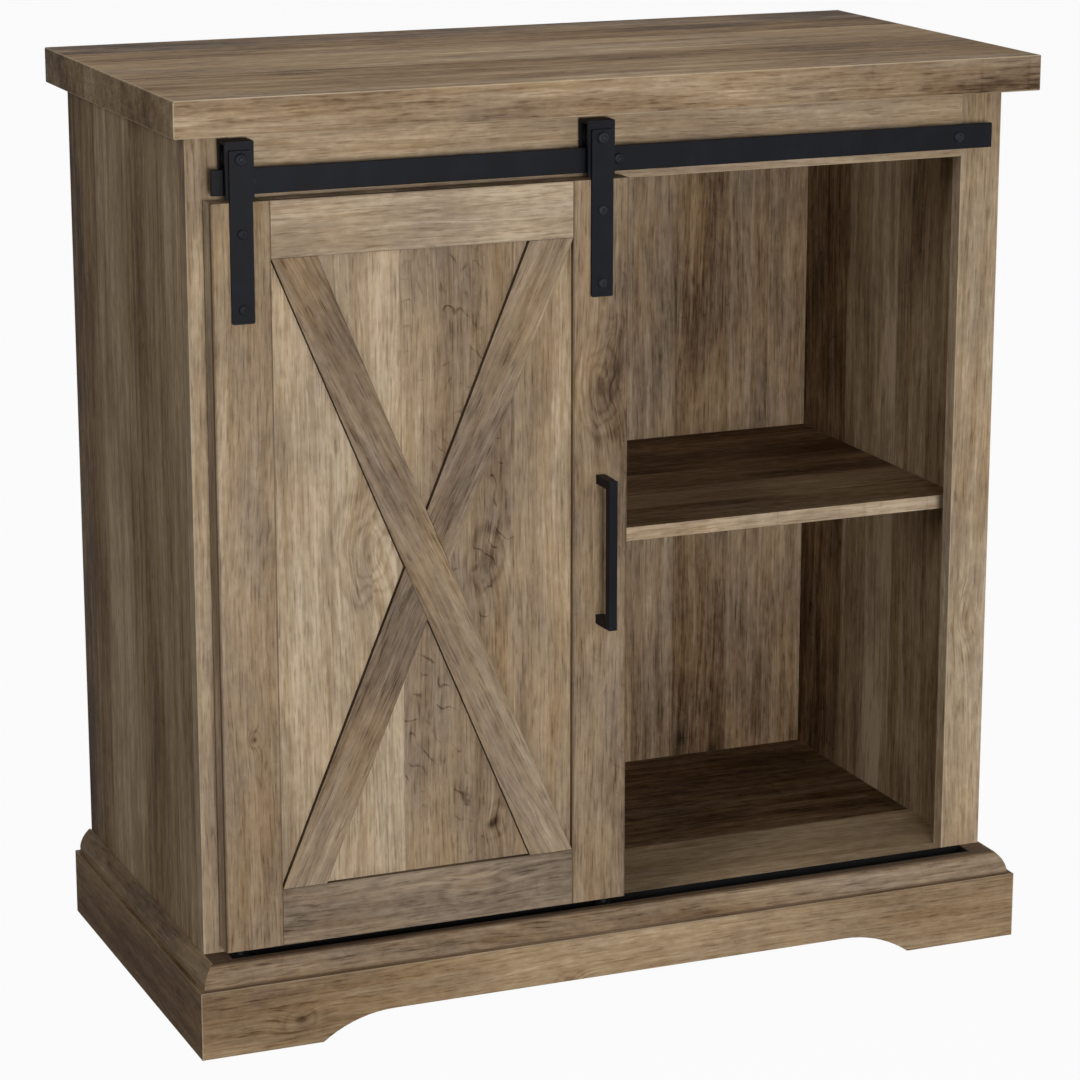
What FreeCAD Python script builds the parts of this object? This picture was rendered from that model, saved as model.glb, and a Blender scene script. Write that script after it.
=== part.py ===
"""Media cabinet with one sliding barn door, built piece by piece in millimetres.

Frame: +X to the right when facing the door, +Y towards the back, +Z up. The origin lies on the
floor, under the middle of the whole cabinet with its door furniture.
"""

import FreeCAD, Part
import math
import os

V = FreeCAD.Vector

# ---- top -------------------------------------------------------------------------------------
TOP_WIDTH = 812.8
TOP_DEPTH = 400.0
TOP_THICKNESS = 32.0
TOP_EDGE_ROUND = 1.2
TOTAL_HEIGHT = 838.2

# ---- carcass ---------------------------------------------------------------------------------
TOP_SIDE_OVERHANG = 19.4
TOP_FRONT_OVERHANG = 35.5
CASE_BACK_INSET = 3.5
PANEL = 15.0
STILE_WIDTH = 40.0
FACE_FRAME_THICKNESS = 15.0
EASED_EDGE = 0.8
HEADER_HEIGHT = 61.2
FLOOR_THICKNESS = 15.0
BACK_THICKNESS = 5.0
BACK_REBATE = 8.0
SHELF_THICKNESS = 13.0
SHELF_TOP_ABOVE_FLOOR = 338.0
SHELF_SETBACK = 18.5
SHELF_FIT = 0.5
PIN_RADIUS = 2.5
PIN_LENGTH = 15.0
PIN_DEPTH_IN_WALL = 7.0
PIN_EDGE_DISTANCE = 40.0
PIN_FIT = 0.1
DOWEL_RADIUS = 4.0
DOWEL_LENGTH = 30.0
DOWEL_FIT = 0.1
DOWEL_EDGE_DISTANCE = 45.0
DOWELS_PER_PANEL = 3
BACK_SCREW_RADIUS = 1.6
BACK_SCREW_LENGTH = 16.0
BACK_SCREW_HEAD_RADIUS = 4.0
BACK_SCREW_HEAD = 1.4
BACK_SCREWS_PER_COLUMN = 5
BACK_SCREW_END_DISTANCE = 45.0

# ---- plinth ----------------------------------------------------------------------------------
SKIRT_HEIGHT = 62.0
SKIRT_THICKNESS = 15.0
SKIRT_SIDE_PROJECTION = 16.0
SKIRT_FRONT_PROJECTION = 41.7
ARCH_HEIGHT = 22.0
ARCH_FOOT_LENGTH = 112.0
ARCH_SHOULDER_RUN = 67.0
CAP_HEIGHT = 20.0
CAP_STEP = 5.0
CAP_LIP = 4.5
CAP_ROUND_WIDTH = 9.5
CAP_ROUND_BULGE = 1.6
BEARER_WIDTH = 40.0
BEARER_HEIGHT = 22.0
GLIDE_RADIUS = 10.0
GLIDE_HEIGHT = 8.0
CLEAT_WIDTH = 20.0
CLEAT_HEIGHT = 22.0
CENTRE_FOOT_WIDTH = 60.0

# ---- bottom guide ----------------------------------------------------------------------------
GUIDE_WIDTH = 20.0
GUIDE_DEPTH = 10.0
GUIDE_WALL = 2.0
GUIDE_END_SETBACK = 20.0
GUIDE_PIN_CLEARANCE = 0.5
GUIDE_PIN_NECK_RADIUS = 3.0
GUIDE_PIN_LIFT = 1.5
GUIDE_PIN_HEIGHT = 6.0
GUIDE_PIN_SPIGOT = 12.0
GUIDE_STOP_CLEARANCE = 0.5

# ---- door ------------------------------------------------------------------------------------
DOOR_LIFT = 7.0
DOOR_TRACK_GAP = 5.0
DOOR_GAP = 3.5
DOOR_SIDE_MARGIN = 14.4
DOOR_PAST_MIDDLE = 6.4
DOOR_PANEL_THICKNESS = 15.0
DOOR_FRAME_THICKNESS = 5.5
DOOR_STILE_WIDTH = 52.0
DOOR_TOP_RAIL = 49.5
DOOR_BOTTOM_RAIL = 52.0
BRACE_RUN_WIDTH = 41.0

# ---- track and hangers -----------------------------------------------------------------------
TRACK_HEIGHT = 22.0
TRACK_THICKNESS = 5.0
TRACK_EDGE_ROUND = 0.6
TRACK_END_SETBACK = 18.5
TRACK_BELOW_TOP = 29.7
TRACK_BOLT_END_DISTANCE = 33.5
TRACK_BOLT_COUNT = 3
TRACK_SPACER_RADIUS = 5.0
TRACK_BOLT_RADIUS = 2.5
TRACK_BOLT_HEAD_RADIUS = 4.75
TRACK_BOLT_HEAD = 2.0
TRACK_BOLT_GRIP = 12.0
STRAP_WIDTH = 20.0
STRAP_THICKNESS = 3.0
STRAP_BELOW_DOOR_TOP = 102.5
STRAP_ABOVE_AXLE = 7.3
STRAP_CORNER = 1.5
CARRIER_WIDTH = 25.0
CARRIER_WALL = 3.0
CARRIER_DOOR_GAP = 2.5
CARRIER_HEADROOM = 0.7
CARRIER_BACK_DROP = 2.5
ROLLER_RIM_RADIUS = 9.0
ROLLER_FLANGE_RADIUS = 11.0
ROLLER_SIDE_CLEARANCE = 1.2
ROLLER_TRACK_CLEARANCE = 0.3
ROLLER_GROOVE_CLEARANCE = 0.5
AXLE_RADIUS = 2.5
AXLE_RUNNING_CLEARANCE = 0.06
AXLE_HEAD_RADIUS = 5.2
AXLE_HEAD = 2.6
STRAP_SCREW_RADIUS = 2.0
STRAP_SCREW_LENGTH = 14.0
STRAP_SCREW_HEAD_RADIUS = 4.2
STRAP_SCREW_HEAD = 2.2
STRAP_SCREW_END_DISTANCE = 12.0
STRAP_SCREW_SPACING = 64.0
SCREW_FIT = 0.1
HEAD_ROUND_SHARE = 0.45

# ---- pull ------------------------------------------------------------------------------------
PULL_BAR = 8.0
PULL_CENTRES = 128.0
PULL_PROJECTION = 30.0
PULL_EDGE_ROUND = 0.8
PULL_SCREW_RADIUS = 2.0
PULL_SCREW_HEAD_RADIUS = 4.0
PULL_SCREW_HEAD = 2.0
PULL_SCREW_GRIP = 12.0

# ---- levels and planes worked out from the sizes above ---------------------------------------
door_thickness = DOOR_PANEL_THICKNESS + DOOR_FRAME_THICKNESS
door_setback = TOP_FRONT_OVERHANG - DOOR_GAP - door_thickness
plinth_reach = SKIRT_FRONT_PROJECTION - TOP_FRONT_OVERHANG
front_reach = max(PULL_PROJECTION - door_setback, plinth_reach, 0.0)

y_top_front = (front_reach - TOP_DEPTH) / 2.0
y_back = y_top_front + TOP_DEPTH
y_case_front = y_top_front + TOP_FRONT_OVERHANG
y_frame_back = y_case_front + FACE_FRAME_THICKNESS
y_case_back = y_back - CASE_BACK_INSET
y_back_panel = y_case_back - BACK_THICKNESS
y_skirt_front = y_case_front - SKIRT_FRONT_PROJECTION
y_cap_front = y_skirt_front + CAP_STEP
y_door_front = y_top_front + door_setback
y_door_panel = y_door_front + DOOR_FRAME_THICKNESS
y_door_back = y_door_front + door_thickness
y_track_middle = y_door_front + door_thickness / 2.0
y_track_front = y_track_middle - TRACK_THICKNESS / 2.0
y_track_back = y_track_front + TRACK_THICKNESS

x_case = TOP_WIDTH / 2.0 - TOP_SIDE_OVERHANG
x_inside = x_case - PANEL
x_opening = x_case - STILE_WIDTH
x_skirt = x_case + SKIRT_SIDE_PROJECTION
x_cap = x_skirt - CAP_STEP

z_case_bottom = SKIRT_HEIGHT
z_ledge = SKIRT_HEIGHT + CAP_HEIGHT
z_floor_bottom = z_ledge - FLOOR_THICKNESS
z_case_top = TOTAL_HEIGHT - TOP_THICKNESS
z_shelf_top = z_ledge + SHELF_TOP_ABOVE_FLOOR
z_shelf_bottom = z_shelf_top - SHELF_THICKNESS
z_track_top = z_case_top - TRACK_BELOW_TOP
z_track_bottom = z_track_top - TRACK_HEIGHT
z_track_middle = (z_track_top + z_track_bottom) / 2.0
z_axle = z_track_top + ROLLER_TRACK_CLEARANCE + ROLLER_RIM_RADIUS
z_door_bottom = z_ledge + DOOR_LIFT
z_door_top = z_track_bottom - DOOR_TRACK_GAP

x_door_left = -x_case + DOOR_SIDE_MARGIN
x_door_right = DOOR_PAST_MIDDLE
x_hanger_left = x_door_left + DOOR_STILE_WIDTH / 2.0
x_hanger_right = x_door_right - DOOR_STILE_WIDTH / 2.0
x_track_end = x_case - TRACK_END_SETBACK
x_guide_end = x_case - GUIDE_END_SETBACK
door_travel = -x_door_left - x_door_right

FILES = "parts"
os.makedirs(FILES, exist_ok=True)


# ---- helpers ---------------------------------------------------------------------------------
def block(x0, x1, y0, y1, z0, z1):
    """Box between two corners."""
    return Part.makeBox(x1 - x0, y1 - y0, z1 - z0, V(x0, y0, z0))


def rod(radius, length, base, axis):
    """Cylinder from a base point along an axis."""
    return Part.makeCylinder(radius, length, base, axis)


def prism(points, direction):
    """Closed polygon of corner points, pushed along a direction."""
    outline = Part.makePolygon(points + [points[0]])
    return Part.Face(outline).extrude(direction)


def group(solids):
    """Separate solids kept together as one node."""
    return Part.makeCompound(solids)


def mirrored_x(shape):
    """Copy reflected to the other side of the cabinet."""
    return shape.mirror(V(0, 0, 0), V(1, 0, 0))


def soften(shape, radius, wanted):
    """Round the straight edges for which wanted(edge) is true."""
    edges = [edge for edge in shape.Edges if wanted(edge)]
    return shape.makeFillet(radius, edges)


def runs_along(edge, axis):
    """Whether a straight edge runs along X, Y or Z, given as 0, 1 or 2."""
    step = edge.Vertexes[-1].Point.sub(edge.Vertexes[0].Point)
    return step.Length > 0 and abs(abs(step[axis]) - step.Length) < 1e-6


def ease_front(shape, y_front, wanted=lambda edge: True):
    """Ease the sharp edges that lie in a board's front plane."""
    return soften(shape, EASED_EDGE, lambda edge: edge.BoundBox.YMax < y_front + 1e-3 and wanted(edge))


def save(name, shape):
    """Write one node."""
    shape.exportStep(os.path.join(FILES, name + ".step"))


def spread(first, last, count):
    """Evenly spaced places from first to last."""
    return [first + (last - first) * i / (count - 1) for i in range(count)]


def pan_screw(place, direction, shank_radius, shank_length, head_radius, head_height):
    """Screw whose domed head sits outside place, with its shank running along direction."""
    shank = rod(shank_radius, shank_length, place, direction)
    back = V(-direction.x, -direction.y, -direction.z)
    head = rod(head_radius, head_height, place, back)
    rim = [edge for edge in head.Edges if edge.Curve.TypeId == "Part::GeomCircle"]
    outer = [edge for edge in rim if edge.CenterOfMass.sub(place).Length > head_height / 2.0]
    head = head.makeFillet(min(head_height, head_radius) * HEAD_ROUND_SHARE, outer)
    return shank.fuse(head).removeSplitter()


# ---- top -------------------------------------------------------------------------------------
dowel_places = []
dowel_ys = spread(y_frame_back + DOWEL_EDGE_DISTANCE, y_back_panel - DOWEL_EDGE_DISTANCE, DOWELS_PER_PANEL)
for x_panel in (-x_inside - PANEL / 2.0, 0.0, x_inside + PANEL / 2.0):
    for y in dowel_ys:
        dowel_places.append(V(x_panel, y, z_case_top - DOWEL_LENGTH / 2.0))


def drilled_for_dowels(shape):
    """Cut every dowel hole that passes through a panel."""
    for place in dowel_places:
        hole_bottom = V(place.x, place.y, place.z - DOWEL_FIT)
        hole = rod(DOWEL_RADIUS + DOWEL_FIT, DOWEL_LENGTH + 2 * DOWEL_FIT, hole_bottom, V(0, 0, 1))
        shape = shape.cut(hole)
    return shape


top = block(-TOP_WIDTH / 2.0, TOP_WIDTH / 2.0, y_top_front, y_back, z_case_top, TOTAL_HEIGHT)
top = soften(top, TOP_EDGE_ROUND, lambda edge: True)
save("top_panel", drilled_for_dowels(top))
save("top_dowels", group([rod(DOWEL_RADIUS, DOWEL_LENGTH, p, V(0, 0, 1)) for p in dowel_places]))


# ---- carcass ---------------------------------------------------------------------------------
pin_ys = (y_frame_back + PIN_EDGE_DISTANCE, y_back_panel - PIN_EDGE_DISTANCE)
z_pin = z_shelf_bottom - PIN_RADIUS
pin_walls = ((-x_inside, 1), (-PANEL / 2.0, -1), (PANEL / 2.0, 1), (x_inside, -1))


def pin(x_wall, y, inward, radius, reach):
    """Rod set in a wall face and standing out of it by reach."""
    start = V(x_wall - inward * PIN_DEPTH_IN_WALL, y, z_pin)
    return rod(radius, PIN_DEPTH_IN_WALL + reach, start, V(inward, 0, 0))


def drilled_for_pins(shape, walls):
    """Cut the shelf pin holes of the named wall faces."""
    for x_wall, inward in walls:
        for y in pin_ys:
            shape = shape.cut(pin(x_wall, y, inward, PIN_RADIUS + PIN_FIT, PIN_FIT))
    return shape


back_screw_columns = (-x_inside - BACK_REBATE / 2.0, 0.0, x_inside + BACK_REBATE / 2.0)
back_screw_zs = spread(
    z_case_bottom + BACK_SCREW_END_DISTANCE, z_case_top - BACK_SCREW_END_DISTANCE, BACK_SCREWS_PER_COLUMN
)
back_screw_places = [V(x, y_case_back, z) for x in back_screw_columns for z in back_screw_zs]


def drilled_for_back_screws(shape):
    """Cut the pilot holes of the screws that hold the back panel."""
    for place in back_screw_places:
        hole_length = BACK_SCREW_LENGTH + SCREW_FIT
        shape = shape.cut(rod(BACK_SCREW_RADIUS + SCREW_FIT, hole_length, place, V(0, -1, 0)))
    return shape


side = block(x_inside, x_case, y_frame_back, y_case_back, z_case_bottom, z_case_top)
rebate = block(x_inside, x_inside + BACK_REBATE, y_back_panel, y_case_back, z_case_bottom, z_case_top)
side = side.cut(rebate)
side_right = drilled_for_pins(drilled_for_back_screws(drilled_for_dowels(side)), pin_walls[3:])
save("side_right", side_right)
save("side_left", mirrored_x(side_right))

stile = block(x_opening, x_case, y_case_front, y_frame_back, z_case_bottom, z_case_top)
stile = ease_front(stile, y_case_front)
save("stile_right", stile)
save("stile_left", mirrored_x(stile))

divider = block(-PANEL / 2.0, PANEL / 2.0, y_frame_back, y_back_panel, z_ledge, z_case_top)
divider = drilled_for_pins(drilled_for_back_screws(drilled_for_dowels(divider)), pin_walls[1:3])
save("divider", divider)

floor_rear = block(-x_inside, x_inside, y_frame_back, y_back_panel, z_floor_bottom, z_ledge)
floor_front = block(-x_opening, x_opening, y_case_front, y_frame_back, z_floor_bottom, z_ledge)
save("floor_panel", floor_rear.fuse(floor_front).removeSplitter())

x_back_panel = x_inside + BACK_REBATE
back_panel = block(-x_back_panel, x_back_panel, y_back_panel, y_case_back, z_case_bottom, z_case_top)
save("back_panel", drilled_for_back_screws(back_panel))
save(
    "back_screws",
    group(
        [
            pan_screw(
                place,
                V(0, -1, 0),
                BACK_SCREW_RADIUS,
                BACK_SCREW_LENGTH,
                BACK_SCREW_HEAD_RADIUS,
                BACK_SCREW_HEAD,
            )
            for place in back_screw_places
        ]
    ),
)

shelf = block(
    PANEL / 2.0 + SHELF_FIT,
    x_inside - SHELF_FIT,
    y_frame_back + SHELF_SETBACK,
    y_back_panel - SHELF_FIT,
    z_shelf_bottom,
    z_shelf_top,
)
shelf = ease_front(shelf, y_frame_back + SHELF_SETBACK)
save("shelf_right", shelf)
save("shelf_left", mirrored_x(shelf))
pin_reach = PIN_LENGTH - PIN_DEPTH_IN_WALL
save(
    "shelf_pins",
    group([pin(x_wall, y, inward, PIN_RADIUS, pin_reach) for x_wall, inward in pin_walls for y in pin_ys]),
)


# ---- plinth ----------------------------------------------------------------------------------
def ring_side_plan(x_outer, y_outer, width, z):
    """Plan corners of the right-hand board of a mitred ring, open at the back."""
    return [
        V(x_outer, y_outer, z),
        V(x_outer, y_back, z),
        V(x_outer - width, y_back, z),
        V(x_outer - width, y_outer + width, z),
    ]


skirt_plan = [
    V(-x_skirt, y_skirt_front, 0),
    V(x_skirt, y_skirt_front, 0),
    V(x_skirt - SKIRT_THICKNESS, y_skirt_front + SKIRT_THICKNESS, 0),
    V(-x_skirt + SKIRT_THICKNESS, y_skirt_front + SKIRT_THICKNESS, 0),
]
skirt_front = prism(skirt_plan, V(0, 0, SKIRT_HEIGHT))

x_arch_crown = x_skirt - ARCH_FOOT_LENGTH - ARCH_SHOULDER_RUN
arch_radius = (ARCH_SHOULDER_RUN**2 + ARCH_HEIGHT**2) / (2.0 * ARCH_HEIGHT)
arch_sweep = math.asin(ARCH_SHOULDER_RUN / arch_radius)


def arch_point(side_sign, share):
    """Point on the shoulder of the arch, from its flat crown (0) to the foot (1)."""
    angle = arch_sweep * share
    x = x_arch_crown + arch_radius * math.sin(angle)
    z = ARCH_HEIGHT - arch_radius * (1.0 - math.cos(angle))
    return V(side_sign * x, y_skirt_front, z)


arch_edges = [
    Part.LineSegment(arch_point(-1, 1), arch_point(1, 1)).toShape(),
    Part.Arc(arch_point(1, 1), arch_point(1, 0.5), arch_point(1, 0)).toShape(),
    Part.LineSegment(arch_point(1, 0), arch_point(-1, 0)).toShape(),
    Part.Arc(arch_point(-1, 0), arch_point(-1, 0.5), arch_point(-1, 1)).toShape(),
]
arch = Part.Face(Part.Wire(arch_edges)).extrude(V(0, SKIRT_THICKNESS, 0))
skirt_front = ease_front(skirt_front.cut(arch), y_skirt_front, lambda edge: not runs_along(edge, 2))
save("skirt_front", skirt_front)

skirt_side = prism(ring_side_plan(x_skirt, y_skirt_front, SKIRT_THICKNESS, 0), V(0, 0, SKIRT_HEIGHT))
save("skirt_right", skirt_side)
save("skirt_left", mirrored_x(skirt_side))

x_plinth_inside = x_skirt - SKIRT_THICKNESS
y_plinth_inside = y_skirt_front + SKIRT_THICKNESS
y_rail = y_back - SKIRT_THICKNESS
save("plinth_back_rail", block(-x_plinth_inside, x_plinth_inside, y_rail, y_back, 0, SKIRT_HEIGHT))


def cap_section(place, width):
    """Section of the cap moulding; place(inset, z) puts a point measured in from its outer face."""
    z_round = SKIRT_HEIGHT + CAP_LIP
    rise = z_ledge - z_round
    chord = math.hypot(CAP_ROUND_WIDTH, rise)
    middle_inset = CAP_ROUND_WIDTH / 2.0 - CAP_ROUND_BULGE * rise / chord
    middle_z = (z_round + z_ledge) / 2.0 + CAP_ROUND_BULGE * CAP_ROUND_WIDTH / chord
    corners = [place(0, z_round), place(0, SKIRT_HEIGHT), place(width, SKIRT_HEIGHT), place(width, z_ledge)]
    corners.append(place(CAP_ROUND_WIDTH, z_ledge))
    edges = [Part.LineSegment(a, b).toShape() for a, b in zip(corners[:-1], corners[1:])]
    edges.append(Part.Arc(corners[-1], place(middle_inset, middle_z), corners[0]).toShape())
    return Part.Face(Part.Wire(edges))


cap_width_front = y_case_front - y_cap_front
cap_width_side = x_cap - x_case
front_section = cap_section(lambda inset, z: V(-x_cap, y_cap_front + inset, z), cap_width_front)
cap_front = front_section.extrude(V(2 * x_cap, 0, 0))
cap_plan = [
    V(-x_cap, y_cap_front, SKIRT_HEIGHT),
    V(x_cap, y_cap_front, SKIRT_HEIGHT),
    V(x_case, y_cap_front + cap_width_side, SKIRT_HEIGHT),
    V(x_case, y_case_front, SKIRT_HEIGHT),
    V(-x_case, y_case_front, SKIRT_HEIGHT),
    V(-x_case, y_cap_front + cap_width_side, SKIRT_HEIGHT),
]
cap_front = cap_front.common(prism(cap_plan, V(0, 0, CAP_HEIGHT)))
y_guide = y_case_front - GUIDE_WIDTH
groove = block(-x_guide_end, x_guide_end, y_guide, y_case_front, z_ledge - GUIDE_DEPTH, z_ledge)
save("cap_front", cap_front.cut(groove))

side_section = cap_section(lambda inset, z: V(x_cap - inset, y_cap_front, z), cap_width_side)
cap_side = side_section.extrude(V(0, y_back - y_cap_front, 0))
side_plan = ring_side_plan(x_cap, y_cap_front, cap_width_side, SKIRT_HEIGHT)
cap_side = cap_side.common(prism(side_plan, V(0, 0, CAP_HEIGHT)))
save("cap_right", cap_side)
save("cap_left", mirrored_x(cap_side))

x_bearer = x_plinth_inside - BEARER_WIDTH
z_bearer = SKIRT_HEIGHT - BEARER_HEIGHT
bearer = block(x_bearer, x_plinth_inside, y_plinth_inside, y_rail, z_bearer, SKIRT_HEIGHT)
save("bearer_right", bearer)
save("bearer_left", mirrored_x(bearer))

post_ys = (y_plinth_inside, y_rail - BEARER_WIDTH)
posts = [block(x_bearer, x_plinth_inside, y, y + BEARER_WIDTH, GLIDE_HEIGHT, z_bearer) for y in post_ys]
save("corner_blocks", group(posts + [mirrored_x(post) for post in posts]))

z_cleat = z_floor_bottom - CLEAT_HEIGHT
x_cleat = min(x_bearer, x_opening)
y_cleat_back = y_rail - CLEAT_WIDTH
y_cleat_front = y_case_front + CLEAT_WIDTH
save("floor_cleat_front", block(-x_cleat, x_cleat, y_case_front, y_cleat_front, z_cleat, z_floor_bottom))
save("floor_cleat_back", block(-x_cleat, x_cleat, y_cleat_back, y_rail, z_cleat, z_floor_bottom))

y_centre_foot = (y_case_front + y_case_back) / 2.0
half_foot = CENTRE_FOOT_WIDTH / 2.0
y_foot_front = y_centre_foot - half_foot
y_foot_back = y_centre_foot + half_foot
centre_foot = block(-half_foot, half_foot, y_foot_front, y_foot_back, GLIDE_HEIGHT, z_floor_bottom)
save("centre_foot", centre_foot)

x_glide = x_plinth_inside - BEARER_WIDTH / 2.0
glide_places = [V(0, y_centre_foot, 0)]
for y in post_ys:
    for x in (-x_glide, x_glide):
        glide_places.append(V(x, y + BEARER_WIDTH / 2.0, 0))
save("glides", group([rod(GLIDE_RADIUS, GLIDE_HEIGHT, place, V(0, 0, 1)) for place in glide_places]))

z_guide_bottom = z_ledge - GUIDE_DEPTH
channel = block(-x_guide_end, x_guide_end, y_guide, y_case_front, z_guide_bottom, z_ledge)
slot = block(
    -x_guide_end + GUIDE_WALL,
    x_guide_end - GUIDE_WALL,
    y_guide + GUIDE_WALL,
    y_case_front - GUIDE_WALL,
    z_guide_bottom + GUIDE_WALL,
    z_ledge,
)
save("guide_channel", channel.cut(slot))


# ---- header and track ------------------------------------------------------------------------
x_last_bolt = x_track_end - TRACK_BOLT_END_DISTANCE
bolt_xs = spread(-x_last_bolt, x_last_bolt, TRACK_BOLT_COUNT)
spacer_length = y_case_front - y_track_back
bolt_length = TRACK_THICKNESS + spacer_length + TRACK_BOLT_GRIP


def drilled_for_track_bolts(shape):
    """Cut the holes that the track bolts pass through."""
    for x in bolt_xs:
        start = V(x, y_track_front, z_track_middle)
        shape = shape.cut(rod(TRACK_BOLT_RADIUS + SCREW_FIT, bolt_length + SCREW_FIT, start, V(0, 1, 0)))
    return shape


header = block(-x_opening, x_opening, y_case_front, y_frame_back, z_case_top - HEADER_HEIGHT, z_case_top)
save("header_rail", drilled_for_track_bolts(ease_front(header, y_case_front)))

track = block(-x_track_end, x_track_end, y_track_front, y_track_back, z_track_bottom, z_track_top)
track = soften(track, TRACK_EDGE_ROUND, lambda edge: runs_along(edge, 0))
save("track_bar", drilled_for_track_bolts(track))
spacers = [
    drilled_for_track_bolts(
        rod(TRACK_SPACER_RADIUS, spacer_length, V(x, y_track_back, z_track_middle), V(0, 1, 0))
    )
    for x in bolt_xs
]
save("track_spacers", group(spacers))
save(
    "track_bolts",
    group(
        [
            pan_screw(
                V(x, y_track_front, z_track_middle),
                V(0, 1, 0),
                TRACK_BOLT_RADIUS,
                bolt_length,
                TRACK_BOLT_HEAD_RADIUS,
                TRACK_BOLT_HEAD,
            )
            for x in bolt_xs
        ]
    ),
)


# ---- door ------------------------------------------------------------------------------------
hanger_xs = (x_hanger_left, x_hanger_right)
z_strap_bottom = z_door_top - STRAP_BELOW_DOOR_TOP
z_strap_top = z_axle + STRAP_ABOVE_AXLE
strap_screw_zs = [z_strap_bottom + STRAP_SCREW_END_DISTANCE + i * STRAP_SCREW_SPACING for i in range(2)]
y_strap_front = y_door_front - STRAP_THICKNESS

z_door_middle = (z_door_bottom + z_door_top) / 2.0
pull_zs = (z_door_middle - PULL_CENTRES / 2.0, z_door_middle + PULL_CENTRES / 2.0)
x_pull = x_hanger_right
y_pull_front = y_door_front - PULL_PROJECTION
y_bar_back = y_pull_front + PULL_BAR


def drilled_for_door_screws(shape):
    """Cut the holes of the strap screws and of the screws that hold the pull."""
    for x in hanger_xs:
        for z in strap_screw_zs:
            place = V(x, y_strap_front, z)
            hole_length = STRAP_SCREW_LENGTH + SCREW_FIT
            shape = shape.cut(rod(STRAP_SCREW_RADIUS + SCREW_FIT, hole_length, place, V(0, 1, 0)))
    for z in pull_zs:
        start = V(x_pull, y_door_front, z)
        shape = shape.cut(rod(PULL_SCREW_RADIUS + SCREW_FIT, door_thickness, start, V(0, 1, 0)))
        pocket = V(x_pull, y_door_back - PULL_SCREW_HEAD, z)
        shape = shape.cut(rod(PULL_SCREW_HEAD_RADIUS + SCREW_FIT, PULL_SCREW_HEAD, pocket, V(0, 1, 0)))
    return shape


guide_pin_radius = GUIDE_WIDTH / 2.0 - GUIDE_WALL - GUIDE_PIN_CLEARANCE
x_pin_left = -x_guide_end + GUIDE_WALL + GUIDE_STOP_CLEARANCE + guide_pin_radius
guide_pin_inset = x_pin_left - x_door_left
guide_pin_xs = (x_pin_left, x_door_right - guide_pin_inset)
y_guide_middle = y_guide + GUIDE_WIDTH / 2.0


def drilled_for_guide_pins(shape):
    """Cut the holes under the door that take the guide pins."""
    for x in guide_pin_xs:
        start = V(x, y_guide_middle, z_door_bottom)
        hole_length = GUIDE_PIN_SPIGOT + SCREW_FIT
        shape = shape.cut(rod(GUIDE_PIN_NECK_RADIUS + SCREW_FIT, hole_length, start, V(0, 0, 1)))
    return shape


door_panel = block(x_door_left, x_door_right, y_door_panel, y_door_back, z_door_bottom, z_door_top)
save("door_panel", drilled_for_guide_pins(drilled_for_door_screws(door_panel)))

x_field_left = x_door_left + DOOR_STILE_WIDTH
x_field_right = x_door_right - DOOR_STILE_WIDTH
z_field_bottom = z_door_bottom + DOOR_BOTTOM_RAIL
z_field_top = z_door_top - DOOR_TOP_RAIL


def frame_board(x0, x1, z0, z1):
    """Board of the applied door frame."""
    return block(x0, x1, y_door_front, y_door_panel, z0, z1)


door_boards = {
    "door_stile_left": frame_board(x_door_left, x_field_left, z_door_bottom, z_door_top),
    "door_stile_right": frame_board(x_field_right, x_door_right, z_door_bottom, z_door_top),
    "door_rail_top": frame_board(x_field_left, x_field_right, z_field_top, z_door_top),
    "door_rail_bottom": frame_board(x_field_left, x_field_right, z_door_bottom, z_field_bottom),
}
for name, board in door_boards.items():
    save(name, drilled_for_door_screws(ease_front(board, y_door_front)))


def brace(x_top, x_bottom):
    """Slanted board across the door's field, from its left edge at the top to that at the bottom."""
    corners = [
        V(x_top, y_door_front, z_field_top),
        V(x_bottom, y_door_front, z_field_bottom),
        V(x_bottom + BRACE_RUN_WIDTH, y_door_front, z_field_bottom),
        V(x_top + BRACE_RUN_WIDTH, y_door_front, z_field_top),
    ]
    return prism(corners, V(0, DOOR_FRAME_THICKNESS, 0))


brace_long = brace(x_field_left, x_field_right - BRACE_RUN_WIDTH)
brace_cut = brace(x_field_right - BRACE_RUN_WIDTH, x_field_left).cut(brace_long)
halves = sorted(brace_cut.Solids, key=lambda solid: solid.CenterOfMass.z)
save("brace_long", ease_front(brace_long, y_door_front))
save("brace_half_lower", ease_front(halves[0], y_door_front))
save("brace_half_upper", ease_front(halves[1], y_door_front))


# ---- hangers ---------------------------------------------------------------------------------
def hole_for_axle(shape, x, y0, y1, radius):
    """Cut a hole for a roller's axle from y0 to y1."""
    return shape.cut(rod(radius, y1 - y0, V(x, y0, z_axle), V(0, 1, 0)))


def strap(x):
    """Flat strap that stands up from the door's face in front of the track."""
    half = STRAP_WIDTH / 2.0
    bar = block(x - half, x + half, y_strap_front, y_door_front, z_strap_bottom, z_strap_top)
    bar = soften(bar, STRAP_CORNER, lambda edge: runs_along(edge, 1))
    bar = hole_for_axle(bar, x, y_strap_front, y_door_front, AXLE_RADIUS + SCREW_FIT)
    return drilled_for_door_screws(bar)


z_carrier_bottom = z_door_top + CARRIER_DOOR_GAP
z_carrier_ceiling = z_axle + ROLLER_FLANGE_RADIUS + CARRIER_HEADROOM
z_carrier_top = z_carrier_ceiling + CARRIER_WALL
z_carrier_back = z_track_top - CARRIER_BACK_DROP
y_carrier_inside = (y_door_front + CARRIER_WALL, y_door_back - CARRIER_WALL)


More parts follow.
